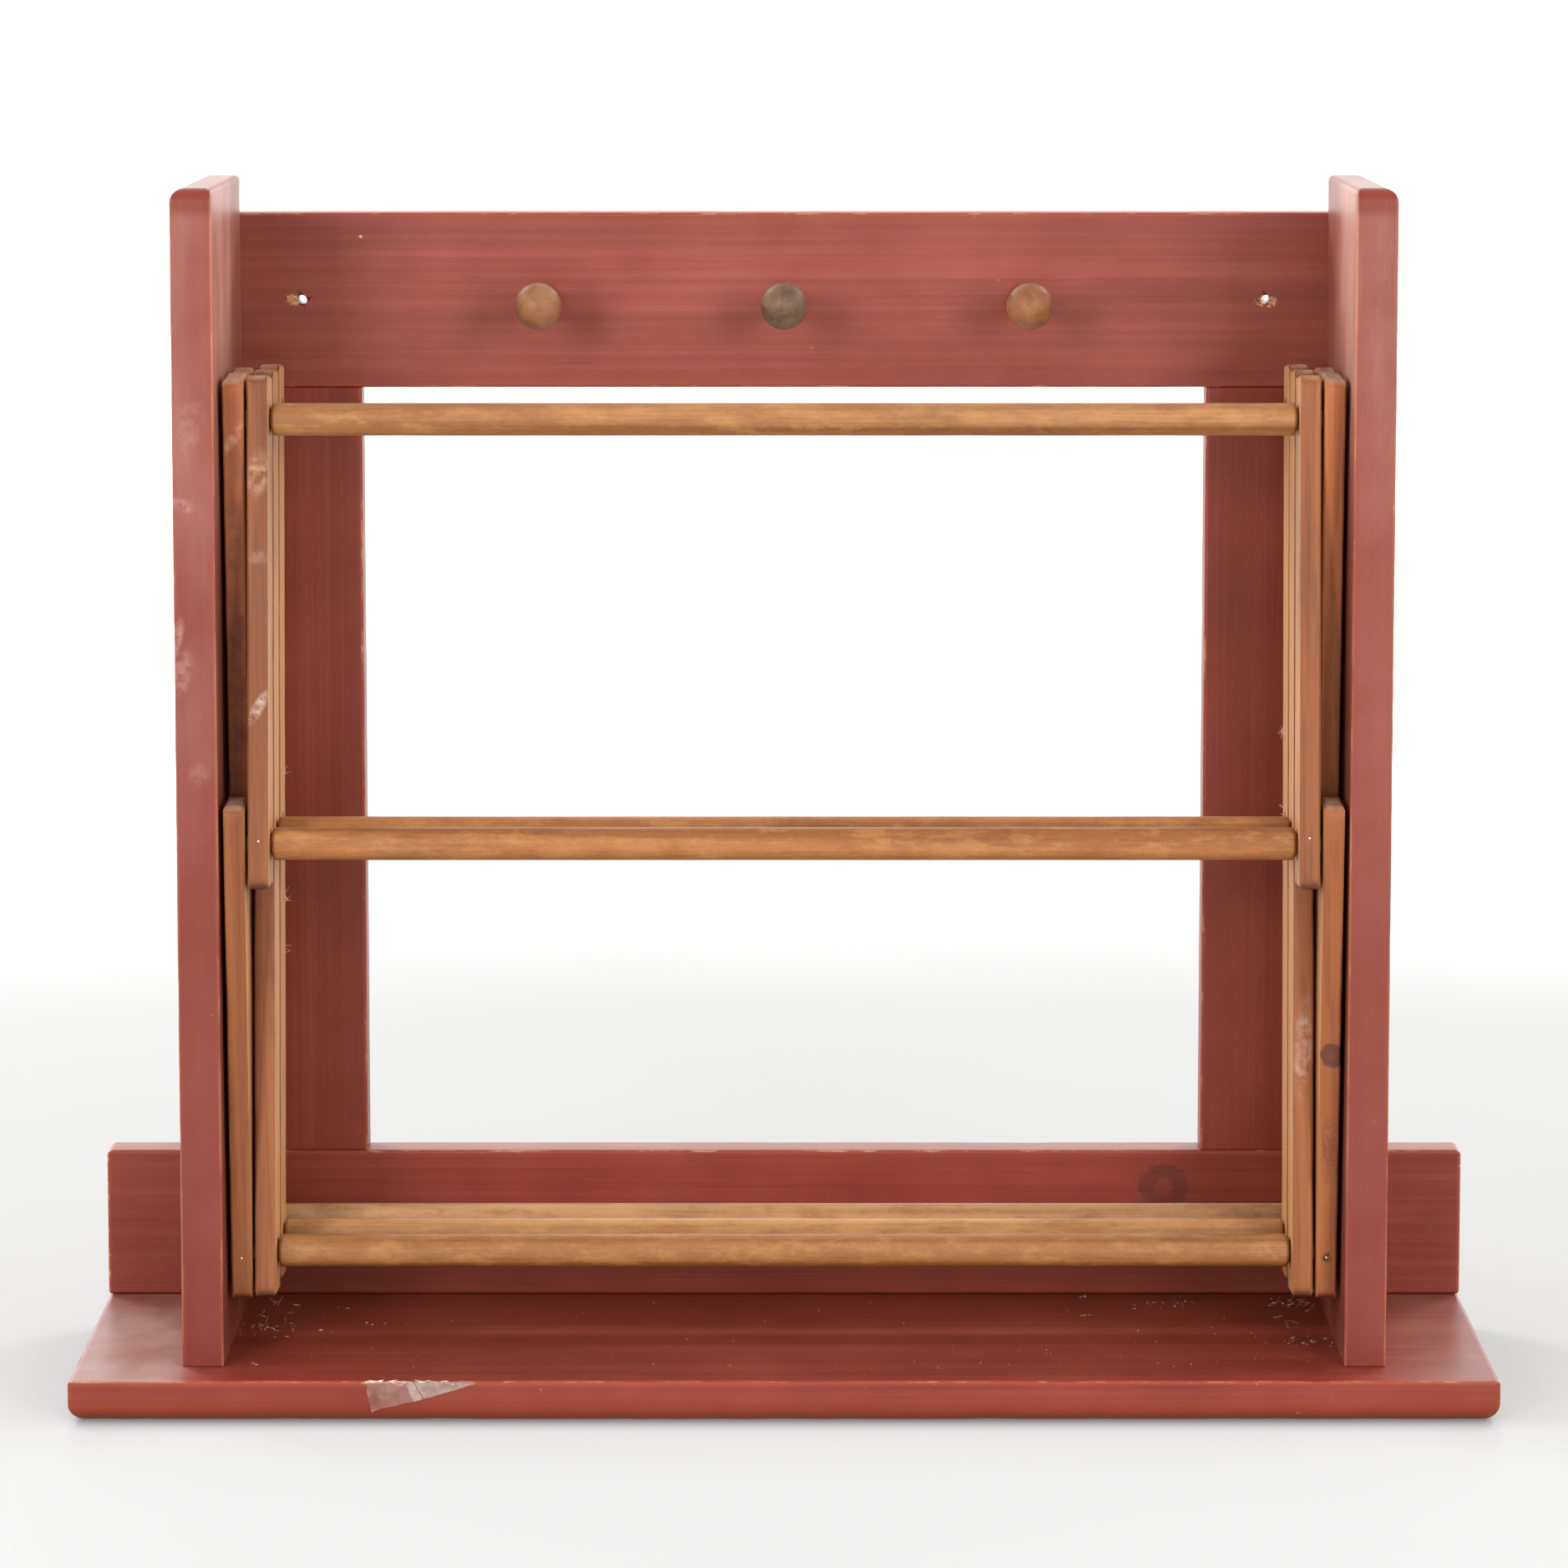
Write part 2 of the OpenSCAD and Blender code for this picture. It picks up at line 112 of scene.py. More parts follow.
class Nodes:
    """A node tree; the methods below add a node and return its output as a Value."""

    def __init__(self, tree):
        self.tree = tree

    def node(self, kind, inputs, out=0, **settings):
        """Adds a node and fills its inputs; both they and its output go by name or number."""
        made = self.tree.nodes.new(kind)
        for key, value in settings.items():
            setattr(made, key, value)
        for key, value in inputs.items():
            self.link(value, made.inputs[key])
        return Value(self, made.outputs[out])

    def link(self, value, socket):
        if isinstance(value, Value):
            self.tree.links.new(value.socket, socket)
        else:
            socket.default_value = value

    def split(self, vector):
        """The X, Y and Z of a vector."""
        return [self.node("ShaderNodeSeparateXYZ", {0: vector}, axis) for axis in (X, Y, Z)]

    def math(self, operation, a, b=0.0):
        return self.node("ShaderNodeMath", {0: a, 1: b}, operation=operation)

    def range(self, value, low, high, to_low=0.0, to_high=1.0, smooth=True):
        inputs = dict(enumerate((value, low, high, to_low, to_high)))
        shape = "SMOOTHSTEP" if smooth else "LINEAR"
        return self.node("ShaderNodeMapRange", inputs, interpolation_type=shape)

    def coordinate(self, name):
        return self.node("ShaderNodeTexCoord", {}, name)


class Shader(Nodes):
    """A node material, with the colour and the height that it has so far."""

    def __init__(self, name):
        self.material = bpy.data.materials.new(name)
        self.material.use_nodes = True
        super().__init__(self.material.node_tree)
        self.bsdf = self.tree.nodes["Principled BSDF"]
        self.output = self.tree.nodes["Material Output"]
        self.position = self.coordinate("Object")
        self.axes = self.split(self.position)

    def set(self, name, value):
        self.link(value, self.bsdf.inputs[name])

    def paint(self, cover, tone):
        """Lays a tone over the colour so far."""
        self.colour = self.mix(cover, self.colour, tone)

    def stain(self, tone, value, low, high, strength):
        """Lays a tone over the colour where a value runs from low to high."""
        self.paint(self.range(value, low, high, 0.0, strength), tone)

    def length(self, vector):
        return self.node("ShaderNodeVectorMath", {0: vector}, "Value", operation="LENGTH")

    def stretch(self, scale, offset=(0, 0, 0)):
        """The object's own coordinates, scaled along each axis and moved."""
        return self.node("ShaderNodeMapping", {"Vector": self.position, "Location": offset, "Scale": scale})

    def spot(self, centre, radii, turn=0.0):
        """Distance from a point, 1 on an ellipsoid with these radii, turned about Y."""
        inputs = {"Vector": self.position, "Location": centre, "Rotation": (0, turn, 0), "Scale": radii}
        return self.length(self.node("ShaderNodeMapping", inputs, vector_type="TEXTURE"))

    def noise(self, vector, scale, detail=4.0, rough=0.5, warp=0.0):
        inputs = {"Vector": vector, "Scale": scale, "Detail": detail, "Roughness": rough, "Distortion": warp}
        return self.node("ShaderNodeTexNoise", inputs, "Fac")

    def ramp(self, factor, stops):
        made = self.node("ShaderNodeValToRGB", {0: factor})
        elements = made.socket.node.color_ramp.elements
        while len(elements) < len(stops):
            elements.new(0.5)
        for element, (place, colour) in zip(elements, stops):
            element.position = place
            element.color = colour
        return made

    def mix(self, factor, a, b):
        return self.node("ShaderNodeMix", {0: factor, 6: a, 7: b}, 2, data_type="RGBA")

    def bump(self, layers):
        """Bump from (height, distance in metres) pairs, one on top of another."""
        inputs = {"Strength": 1.0}
        for height, distance in layers:
            inputs |= {"Height": height, "Distance": distance}
            inputs["Normal"] = self.node("ShaderNodeBump", inputs)
        self.set("Normal", inputs["Normal"])

    def edge_distance(self, low, high):
        """Distance to the nearest edge of a box, for a point on its surface."""
        near = [self.math("MINIMUM", abs(self.axes[k] - low[k]), abs(high[k] - self.axes[k]))
                for k in (X, Y, Z)]
        small = self.math("MINIMUM", near[X], near[Y])
        large = self.math("MAXIMUM", near[X], near[Y])
        return self.math("MAXIMUM", small, self.math("MINIMUM", large, near[Z]))


# -------- camera, light and floor

def make_camera():
    camera = bpy.data.cameras.new("camera")
    camera.sensor_width = 36
    camera.lens = 133.17
    camera.shift_y = -0.15
    camera.clip_end = 100
    holder = add_object("camera", camera)
    holder.location = (0, -2.654, 0.6821)
    holder.rotation_euler = (math.radians(90 - 6.343), 0, 0)
    bpy.context.scene.camera = holder


def softbox(name, place, target, size, watts):
    light = bpy.data.lights.new(name, "AREA")
    light.shape = "RECTANGLE"
    light.size, light.size_y = size
    light.energy = watts
    holder = add_object(name, light)
    holder.location = place
    holder.rotation_euler = (Vector(target) - Vector(place)).to_track_quat("-Z", "Y").to_euler()
    holder.visible_camera = False


def make_light():
    """White surroundings, brighter behind the object and dimmer well below it, and softboxes."""
    world = bpy.data.worlds.new("studio")
    world.use_nodes = True
    background = world.node_tree.nodes["Background"]
    background.inputs["Color"].default_value = (1, 1, 1, 1)
    sky = Nodes(world.node_tree)
    direction = sky.split(sky.coordinate("Generated"))
    low = sky.range(direction[Z], -0.15, -0.19, smooth=False)
    level = sky.range(direction[Y], 0.35, 0.95, 1.0, 1.7)
    sky.link(sky.node("ShaderNodeMix", {0: low, 2: level, 3: 0.91}), background.inputs["Strength"])
    bpy.context.scene.world = world
    target = (0, 0.05, 0.3)
    for side in (-1, 1):
        softbox(f"front_softbox_{side}", (side * 1.25, -2.25, 0.88), target, (0.6, 0.9), 40)
        softbox(f"side_softbox_{side}", (side * 1.7, -0.1, 1.15), (-side * 0.3, 0, 0.45), (0.7, 0.7), 12)
        softbox(f"back_softbox_{side}", (side * 1.7, 1.9, 1.75), target, (0.9, 0.9), 58 - 11 * side)
    softbox("fill", (0, -2.9, 0.40), (0, 0, 0.3), (1.8, 0.8), 7)
    view = bpy.context.scene.view_settings
    view.view_transform = "Standard"
    view.look = "None"


def make_floor():
    """A pale sheet that fades out into the white surroundings, painted lighter towards the front and see-through
    just in front of the object, as painted light.
    """
    reach = 8
    mesh = bpy.data.meshes.new("floor")
    mesh.from_pydata([(-reach, -reach, 0), (reach, -reach, 0), (reach, reach, 0), (-reach, reach, 0)],
                     [], [(0, 1, 2, 3)])
    floor = add_object("floor", mesh)
    floor.location.z = CAD_BOX[0].z - 0.4 * MM
    shader = Shader("pale_floor")
    across, depth = abs(shader.axes[X]), shader.axes[Y]
    tint = shader.noise(shader.position, 3, 2)
    tone = shader.ramp(tint, [(0.3, (0.290, 0.289, 0.287, 1)), (0.7, (0.305, 0.304, 0.302, 1))])
    # Painted light: the floor is painted lighter towards the front.
    shader.set("Base Color", shader.mix(shader.range(depth, 0.05, -0.45), tone, (0.47, 0.462, 0.454, 1)))
    shader.set("Roughness", 0.42)
    shader.set("Specular IOR Level", 0.35)
    front = CAD_BOX[0].y
    # Painted light: just in front of the shelf the floor lets the bright surroundings through, which takes out the
    # shadow that the object casts forward.
    painted_light_front = shader.range(depth, front + 0.003, front - 0.016, 0.0, 0.70) * shader.range(across, 0.46, 0.26)
    painted_light_wide = shader.range(depth, front + 0.02, front - 0.16, 0.0, 0.60)
    # The floor is never more than 0.88 solid, which also lightens the shadows on it: painted light.
    kept = shader.range(shader.length(shader.position), 0.5, 2.0, 0.88, 0.0) * (1.0 - painted_light_front) * (1.0 - painted_light_wide)
    solid, clear = Value(shader, shader.bsdf.outputs[0]), shader.node("ShaderNodeBsdfTransparent", {})
    blend = shader.node("ShaderNodeMixShader", {0: 1.0 - kept, 1: solid, 2: clear})
    shader.link(blend, shader.output.inputs[0])
    mesh.materials.append(shader.material)


# -------- paint

PAINT_DEEP = linear(101, 37, 26)
PAINT = linear(118, 48, 34)
PAINT_PALE = linear(133, 61, 46)
PAINT_ORANGE = linear(140, 58, 32)
BARE_WOOD = linear(176, 124, 86)
CHALK = linear(190, 172, 164)
# How far into the wood, along Y, the marks on a front face reach.
MARK_DEPTH = 5 * MM


class Grained(Shader):
    """A material with its grain along one axis. step: how far its noise moves for each seed."""

    def __init__(self, name, grain, seed, step):
        super().__init__(name)
        self.grain = grain
        self.shift = tuple(seed * share for share in step)

    def figure(self, along, across, detail, rough, warp=0.0, scale=1.0):
        """Noise with its own scale along the grain and across it."""
        stretch = [along if axis == self.grain else across for axis in (X, Y, Z)]
        return self.noise(self.stretch(stretch, self.shift), scale, detail, rough, warp)


def paint_material(name, low, high, grain, seed, wear=1.0, streaks=1.0, haze=(0.0, 0.0), dusty=0.0, marks=()):
    """Worn brick-red paint over wood, with the wood's grain telegraphing through.

    haze: how chalky the paint is at the bottom and at the top of the board. dusty: how much dust
    covers faces that look up. marks are functions that change the shader's colour and height.
    """
    shader = Grained(name, grain, seed, (1.7, 2.3, 3.1))
    streak = shader.figure(2.2, 190, 5, 0.62)
    broad = shader.figure(1.1, 34, 3, 0.5, 0.4)
    cloud = shader.figure(1, 1, 4, 0.6, scale=14)
    fine = shader.figure(30, 900, 2, 0.6)
    mottle = (streak - 0.5) * (0.55 * streaks) + broad * 0.5 + cloud * 0.5
    shader.colour = shader.ramp(mottle, [(0.28, PAINT_DEEP), (0.5, PAINT), (0.74, PAINT_PALE)])
    if max(haze) > 0:
        rise = shader.range(shader.axes[Z], low[2], high[2], *haze, smooth=False)
        shader.paint(rise * shader.range(cloud, 0.3, 0.7, 0.6, 1.4), CHALK)
    if dusty:
        upwards = shader.split(shader.coordinate("Normal"))[Z]
        settled = shader.range(upwards, 0.7, 0.98, 0.0, dusty) * shader.range(cloud, 0.3, 0.7, 0.6, 1.3)
        shader.paint(settled, linear(196, 184, 172))

    edge = shader.edge_distance(low, high)
    reach = (shader.figure(55, 320, 4, 0.7) - 0.5) * (6 * MM * wear)
    rubbed = shader.range(edge - reach, 0.7 * MM, -0.2 * MM)
    shader.stain(PAINT_ORANGE, edge, 2.6 * MM, 0.6 * MM, 0.6)
    shader.paint(rubbed * 0.8, BARE_WOOD)

    speck = shader.figure(1, 1, 2, 0.5, scale=260)
    scratch = shader.figure(26, 7, 5, 0.75, 1.2, scale=6)
    shader.stain(linear(176, 132, 112), speck, 0.75, 0.8, 0.5)
    shader.stain(linear(70, 26, 20), speck, 0.25, 0.2, 0.5)
    shader.stain(linear(180, 130, 110), abs(scratch - 0.5), 0.0025, 0.0, 0.12)
    shader.height = streak + rubbed * -0.8
    for mark in marks:
        mark(shader)

    shader.set("Base Color", shader.colour)
    shader.set("Roughness", shader.range(cloud + fine, 0.6, 1.4, 0.30, 0.46, smooth=False))
    shader.set("Specular IOR Level", 0.22)
    shader.bump([(shader.height, 0.2 * MM), (fine, 0.05 * MM)])
    return shader.material


def knot_mark(centre, size, strength=0.6, heart_share=0.75):
    """A knot that shows through: a dark disc with a paler, ragged heart."""
    def mark(shader):
        away = shader.spot(centre, (size, MARK_DEPTH, size))
        away = away + (shader.noise(shader.position, 220, 3, 0.6) - 0.5) * 0.7
        heart = shader.range(away, 0.48, 0.22, 0.0, strength * heart_share)
        dark = shader.range(away, 1.2, 0.9, 0.0, strength) - heart
        shader.paint(dark, linear(62, 34, 34))
        shader.height -= dark
    return mark


def scuff_mark(centre, size, turn=0.0, strength=0.5, tint=(186, 150, 132), scale=420, warp=0.5):
    """A rubbed patch of broken pale streaks."""
    def mark(shader):
        away = shader.spot(centre, (size[0], MARK_DEPTH, size[1]), turn)
        grit = shader.noise(shader.position, scale, 4, 0.7, warp)
        cover = shader.range(away, 1.1, 0.4) * shader.range(grit, 0.36, 0.64, 0, strength)
        shader.paint(cover, linear(*tint))
        shader.height -= cover
    return mark


def chip_mark(centre, size):
    """Paint broken away down to the wood."""
    def mark(shader):
        ragged = shader.noise(shader.stretch((1, 1, 1), centre), 900, 3, 0.6)
        away = shader.spot(centre, (size[0], MARK_DEPTH, size[1])) + (ragged - 0.5) * 1.2
        bare = shader.range(away, 0.9, 0.75)
        tone = shader.mix(shader.range(ragged, 0.3, 0.7), linear(176, 124, 74), linear(112, 66, 40))
        shader.paint(bare, tone)
        shader.height -= bare
    return mark


def low_edge_mark(level, strength):
    """Browner paint below a height, where the round-over has been handled."""
    def mark(shader):
        ragged = shader.noise(shader.stretch((9, 60, 60)), 1.0, 3, 0.6)
        low = shader.range(shader.axes[Z] + ragged * (-3 * MM), level, level - 4 * MM, 0.0, strength)
        shader.paint(low, linear(122, 48, 24))
    return mark


def wear_and_sheen_mark(front, inner, outer):
    """On a side board: deeper paint towards the bottom, a browner front top corner, a painted sheen on the upper
    front of the inner faces and rubbed front edges. front, inner and outer are where its faces are."""
    def mark(shader):
        across, depth, rise = abs(shader.axes[X]), shader.axes[Y], shader.axes[Z]
        cloud = shader.noise(shader.stretch((22, 22, 6)), 1.0, 4, 0.6)
        deep = shader.range(rise, 0.06, 0.40, 0.62, 0.28, smooth=False)
        deep = deep * shader.range(cloud, 0.3, 0.7, 0.75, 1.2)
        shader.paint(deep, PAINT_DEEP)
        hazy = shader.range(rise, 0.15, 0.5) * shader.range(cloud, 0.42, 0.68)
        shader.paint(hazy * 0.12, CHALK)
        corner = shader.range(rise, 0.541, 0.548) * shader.range(depth, front + 10 * MM, front + 4 * MM)
        shader.paint(corner * 0.85, linear(108, 40, 20))
        # Painted sheen: the upper front of each inner face is painted pale.
        inside = shader.range(across, inner + 1.2 * MM, inner + 0.4 * MM)
        painted_sheen = shader.range(rise, 0.38, 0.50, 0.05, 0.35) * shader.range(depth, 0.050, -0.030)
        painted_sheen = painted_sheen * shader.range(cloud, 0.3, 0.7, 0.6, 1.3)
        shader.paint(inside * painted_sheen, linear(206, 158, 138))
        to_edge = shader.math("MINIMUM", abs(across - inner), abs(across - outer))
        ragged = shader.noise(shader.stretch((60, 60, 12)), 1.0, 4, 0.6)
        line = shader.range(to_edge, 1.3 * MM, 0.3 * MM) * shader.range(depth, front + 3 * MM, front + 1 * MM)
        line = line * shader.range(ragged, 0.35, 0.6, 0.08, 0.46)
        shader.paint(line, linear(170, 112, 76))
    return mark


def dust_and_sheen_mark(shader):
    """A painted sheen and a film of dust on the shelf's top outside the side boards, stronger on the left."""
    cloud = shader.noise(shader.stretch((30, 18, 30)), 1.0, 4, 0.6)
    left = shader.range(shader.axes[X], -0.262, -0.285, 0.0, 0.30)
    right = shader.range(shader.axes[X], 0.270, 0.300, 0.0, 0.10)
    # Painted sheen, with dust: a pale film laid over the shelf's top outside the side boards.
    film = (left + right) * shader.range(cloud, 0.25, 0.7, 0.4, 1.3) * 1.3
    upper = shader.range(shader.axes[Z], 17.8 * MM, 18.8 * MM)
    shader.paint(film * upper, linear(160, 140, 134))


# -------- wood, steel and small things

def wood_material(name, grain, seed, tones, rings=26.0, dirt=0.35, flecks=0.0, lines=0.3, side_sheen=0.0,
                  blotches=0.0, marks=()):
    """Oiled wood with grain along one axis: rings, pores, stains and handling marks.

    tones are (light, middle, dark). side_sheen: how much paler the broad faces are painted than the edges, a
    painted sheen on wood whose broad faces look along X; with it, faces that look down get painted shade.
    """
    light, middle, dark = tones
    shader = Grained(name, grain, seed, (0.37, 0.53, 0.71))
    flow = shader.figure(1.6, rings * 2, 4, 0.55, 0.6)
    pores = shader.figure(22, 900, 3, 0.65)
    stain = shader.figure(14, 40, 5, 0.65)
    shader.colour = shader.ramp(flow, [(0.28, dark), (0.5, middle), (0.7, light)])
    wave = shader.math("SINE", flow * 70.0)
    shader.stain(dark, wave, 0.55, 1.0, lines)
    shader.stain(dark, pores, 0.52, 0.72, 0.4)
    if side_sheen:
        facing = shader.split(shader.coordinate("Normal"))
        # Painted sheen: faces that look along X are painted paler.
        side_on = shader.range(abs(facing[X]), 0.7, 0.98, 0.0, side_sheen)
        shader.paint(side_on, shader.mix(flow, linear(160, 112, 66), linear(196, 146, 96)))
        worn = shader.figure(160, 120, 4, 0.6)
        top = shader.range(facing[Z], 0.45, 0.9) * shader.range(worn, 0.35, 0.6, 0.3, 0.85)
        shader.paint(top, linear(150, 124, 104))
        # Painted shade: faces that look down are painted darker.
        shader.stain(linear(76, 52, 40), facing[Z], -0.2, -0.7, 0.7)
    if blotches:
        patch = shader.figure(48, 110, 5, 0.7)
        shader.stain(linear(128, 76, 36), patch, 0.48, 0.66, blotches)
        shader.stain(linear(172, 124, 74), patch, 0.50, 0.34, blotches * 0.7)
    shader.stain(linear(70, 42, 30), stain, 0.5, 0.74, dirt)
    if flecks:
        dots = shader.figure(230, 700, 4, 0.7)
        shader.stain(linear(92, 52, 22), dots, 0.52, 0.68, flecks)
        shader.stain(linear(172, 124, 74), dots, 0.48, 0.32, flecks)
    shader.height = flow
    for mark in marks:
        mark(shader)
    shader.set("Base Color", shader.colour)
    shader.set("Roughness", shader.range(stain, 0.3, 0.8, 0.42, 0.58, smooth=False))
    shader.set("Specular IOR Level", 0.2)
    shader.bump([(shader.height, 0.16 * MM), (pores, 0.08 * MM)])
    return shader.material


def plain_material(name, low_tone, high_tone, scale, rough):
    """Small loose things: two tones, a rough surface and a fine bump."""
    shader = Shader(name)
    grit = shader.noise(shader.position, scale, 4, 0.6)
    shader.set("Base Color", shader.ramp(grit, [(0.35, low_tone), (0.65, high_tone)]))
    shader.set("Roughness", shader.range(grit, 0.3, 0.7, rough, rough + 0.15, smooth=False))
    shader.bump([(grit, 0.04 * MM)])
    return shader.material


def steel_material(name, tone, rough):
    """Steel with specks of rust."""
    shader = Shader(name)
    rust = shader.noise(shader.position, 900, 4, 0.6)
    shader.set("Base Color", shader.ramp(rust, [(0.42, tone), (0.68, linear(120, 88, 66))]))
    shader.set("Metallic", 0.85)
    shader.set("Roughness", shader.range(rust, 0.3, 0.7, rough, rough + 0.25, smooth=False))
    shader.bump([(rust, 0.05 * MM)])
    return shader.material


def tape_material(name, cover):
    """Hazy film: part of it is seen through."""
    shader = Shader(name)
    haze = shader.noise(shader.position, 160, 4, 0.6)
    shader.set("Base Color", shader.ramp(haze, [(0.3, linear(156, 132, 122)), (0.7, linear(188, 168, 158))]))
    shader.set("Roughness", 0.35)
    shader.set("Alpha", shader.range(haze, 0.25, 0.75, cover - 0.1, cover + 0.1, smooth=False))
    shader.bump([(haze, 0.06 * MM)])
    return shader.material


# -------- meshes

def piece(name, mesh, material, body, slot, *nodes):
    """Puts a mesh in the scene as a piece of the object that replaces CAD nodes."""
    made = add_object(name, mesh)
    mesh.materials.append(material)
    for polygon in mesh.polygons:
        polygon.use_smooth = True
    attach(made, body)
    if nodes:
        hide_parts(*nodes)
    return made


def mesh_from(name, made):
    """The mesh of a bmesh, its faces turned outwards."""
    bmesh.ops.recalc_face_normals(made, faces=made.faces)
    mesh = bpy.data.meshes.new(name)
    made.to_mesh(mesh)
    made.free()
    return mesh


def loose_piece(name, made, material, body, slot):
    return piece(name, mesh_from(name, made), material, body, slot)


def skin(made, rows):
    """Faces between rings of points, and one at each end, added to a bmesh."""
    count = len(rows[0])
    for near, far in zip(rows, rows[1:]):
        for k in range(count):
            made.faces.new((near[k], near[(k + 1) % count], far[(k + 1) % count], far[k]))
    made.faces.new(rows[0][::-1])
    made.faces.new(rows[-1])


def around(centre, axis, along, p, q):
    """A point some way along an axis from a centre, and p and q along the other two axes."""
    place = list(centre)
    first, second = [k for k in (X, Y, Z) if k != axis]
    place[axis] += along
    place[first] += p
    place[second] += q
    return place


def spread(start, end, pitch):
    """Evenly spaced values from start to end, ends left out."""
    count = max(1, round(abs(end - start) / pitch))
    return [start + (end - start) * k / count for k in range(1, count)]


def section_ring(size_u, size_v, radii, insets, pitch, arc_steps):
    """Points of a rounded rectangle as (u, v, normal u, normal v).

    radii are of the corners (-u -v), (+u -v), (+u +v) and (-u +v); insets pull in the sides
    -u, +u, -v and +v, and shrink the corners' radii as they do.
    """
    least = 0.15 * MM
    arcs = []
    for (su, sv, start), radius in zip(((-1, -1, 180), (1, -1, 270), (1, 1, 0), (-1, 1, 90)), radii):
        inset_u, inset_v = insets[su > 0], insets[2 + (sv > 0)]
        ru, rv = max(radius - inset_u, least), max(radius - inset_v, least)
        centre_u, centre_v = su * (size_u / 2 - inset_u - ru), sv * (size_v / 2 - inset_v - rv)
        arc = []
        for step in range(arc_steps + 1):
            angle = math.radians(start + 90 * step / arc_steps)
            nu, nv = math.cos(angle), math.sin(angle)
            arc.append((centre_u + ru * nu, centre_v + rv * nv, nu, nv))
        arcs.append(arc)
    ring = []
    for k, arc in enumerate(arcs):
        ring += arc
        u0, v0, nu, nv = arc[-1]
        u1, v1 = arcs[(k + 1) % 4][0][:2]
        count = max(1, round((size_u if k % 2 == 0 else size_v) / pitch))
        ring += [(u0 + (u1 - u0) * j / count, v0 + (v1 - v0) * j / count, nu, nv) for j in range(1, count)]
    return ring


def board_mesh(name, size, long_axis, radii, low_end, high_end, pitch=4 * MM, arc_steps=5, worn=0.0, seed=0):
    """A board centred on its origin, long along one axis, with every edge rounded.

    radii: the four long edges, in the order of section_ring, whose u and v are the other two
    axes in X, Y, Z order. low_end and high_end: rounding of each end's edges as
    (-u, +u, -v, +v). worn: how deep the edges are knocked in, in metres.
    """
    u_axis, v_axis = [axis for axis in (X, Y, Z) if axis != long_axis]
    half = size[long_axis] / 2
    bends = [math.radians(90 * step / arc_steps) for step in range(arc_steps + 1)]
    stations = [(low_end, -1, bend) for bend in reversed(bends)]
    stations += [(None, w, 0) for w in spread(-half + max(low_end), half - max(high_end), pitch)]
    stations += [(high_end, 1, bend) for bend in bends]
    made = bmesh.new()
    rows = []
    for end, sign, bend in stations:
        insets = [radius * (1 - math.cos(bend)) for radius in end or (0,) * 4]
        row = []
        for u, v, nu, nv in section_ring(size[u_axis], size[v_axis], radii, insets, pitch, arc_steps):
            along = sign
            if end:
                radius = end[nu > 0] * nu * nu + end[2 + (nv > 0)] * nv * nv
                along = sign * (half - radius + radius * math.sin(bend))
            row.append(made.verts.new(around((0, 0, 0), long_axis, along, u, v)))
        rows.append(row)
    skin(made, rows)
    if worn:
        bmesh.ops.recalc_face_normals(made, faces=made.faces)
        knock_edges(made, [value / 2 for value in size], max(radii), worn, seed)
        for row, w in ((rows[0], -half), (rows[-1], half)):
            for vertex in row:
                vertex.co[long_axis] = w
    return mesh_from(name, made)


def knock_edges(made, half, reach, worn, seed):
    """Moves points inwards: unevenly near the edges, and very slightly over the faces."""
    shift = Vector((seed * 3.7, seed * 1.9, seed * 5.3))
    unplaned = 0.12 * MM
    made.normal_update()
    moves = []
    for vertex in made.verts:
        gaps = sorted(half[axis] - abs(vertex.co[axis]) for axis in (X, Y, Z))
        near = max(0.0, 1 - gaps[1] / max(reach, 2 * MM))
        dents = max(0.0, noise.noise(vertex.co * 60 + shift) + 0.4 * noise.noise(vertex.co * 210 + shift))
        swell = 0.5 + 0.5 * noise.noise(vertex.co * 9 + shift)
        moves.append(vertex.normal * (-worn * near * dents - unplaned * swell))
    for vertex, move in zip(made.verts, moves):
        vertex.co += move


def lathe_mesh(name, profile, axis, centre, segments=40, shake=0.0, seed=0):
    """A turned shape: profile is (distance along the axis, radius); shake is how uneven it is."""
    made = bmesh.new()
    shift = Vector((seed * 2.1, seed * 4.3, seed * 0.9))
    rows = []
    for w, radius in profile:
        row = []
        for k in range(segments):
            angle = 2 * math.pi * k / segments
            spot = Vector((w, math.cos(angle) * 0.01, math.sin(angle) * 0.01))
            r = radius * (1 - shake * (0.5 + 0.5 * noise.noise(spot * 28 + shift)))
            row.append(made.verts.new(around(centre, axis, w, r * math.cos(angle), r * math.sin(angle))))
        rows.append(row)
    skin(made, rows)
    return mesh_from(name, made)


def rod_cutter(centre, axis, radius, length, flat_sides=0.0):
    """A cylinder along X, Y or Z to cut with; flat_sides stretches it into a slot along Z."""
    steps = 32
    outline = []
    for k in range(steps):
        angle = 2 * math.pi * (k + 0.5) / steps
        q = radius * math.sin(angle)
        outline.append((radius * math.cos(angle), q + math.copysign(flat_sides / 2, q)))
    made = bmesh.new()
    skin(made, [[made.verts.new(around(centre, axis, end, p, q)) for p, q in outline]
                for end in (-length / 2, length / 2)])
    return add_object("cutter", mesh_from("cutter", made))


def cut(made, cutters):
    """Cuts the cutters' shapes out of a piece, for good, deletes the cutters and evens the shading."""
    for cutter in cutters:
        modifier = made.modifiers.new("cut", "BOOLEAN")
        modifier.operation = "DIFFERENCE"
        modifier.solver = "EXACT"
        modifier.object = cutter
    bpy.context.view_layer.update()
    graph = bpy.context.evaluated_depsgraph_get()
    mesh = bpy.data.meshes.new_from_object(made.evaluated_get(graph))
    made.modifiers.clear()
    mesh.name = made.data.name
    made.data = mesh
    for cutter in cutters:
        bpy.data.objects.remove(cutter)
    made.modifiers.new("even_normals", "WEIGHTED_NORMAL").weight = 80


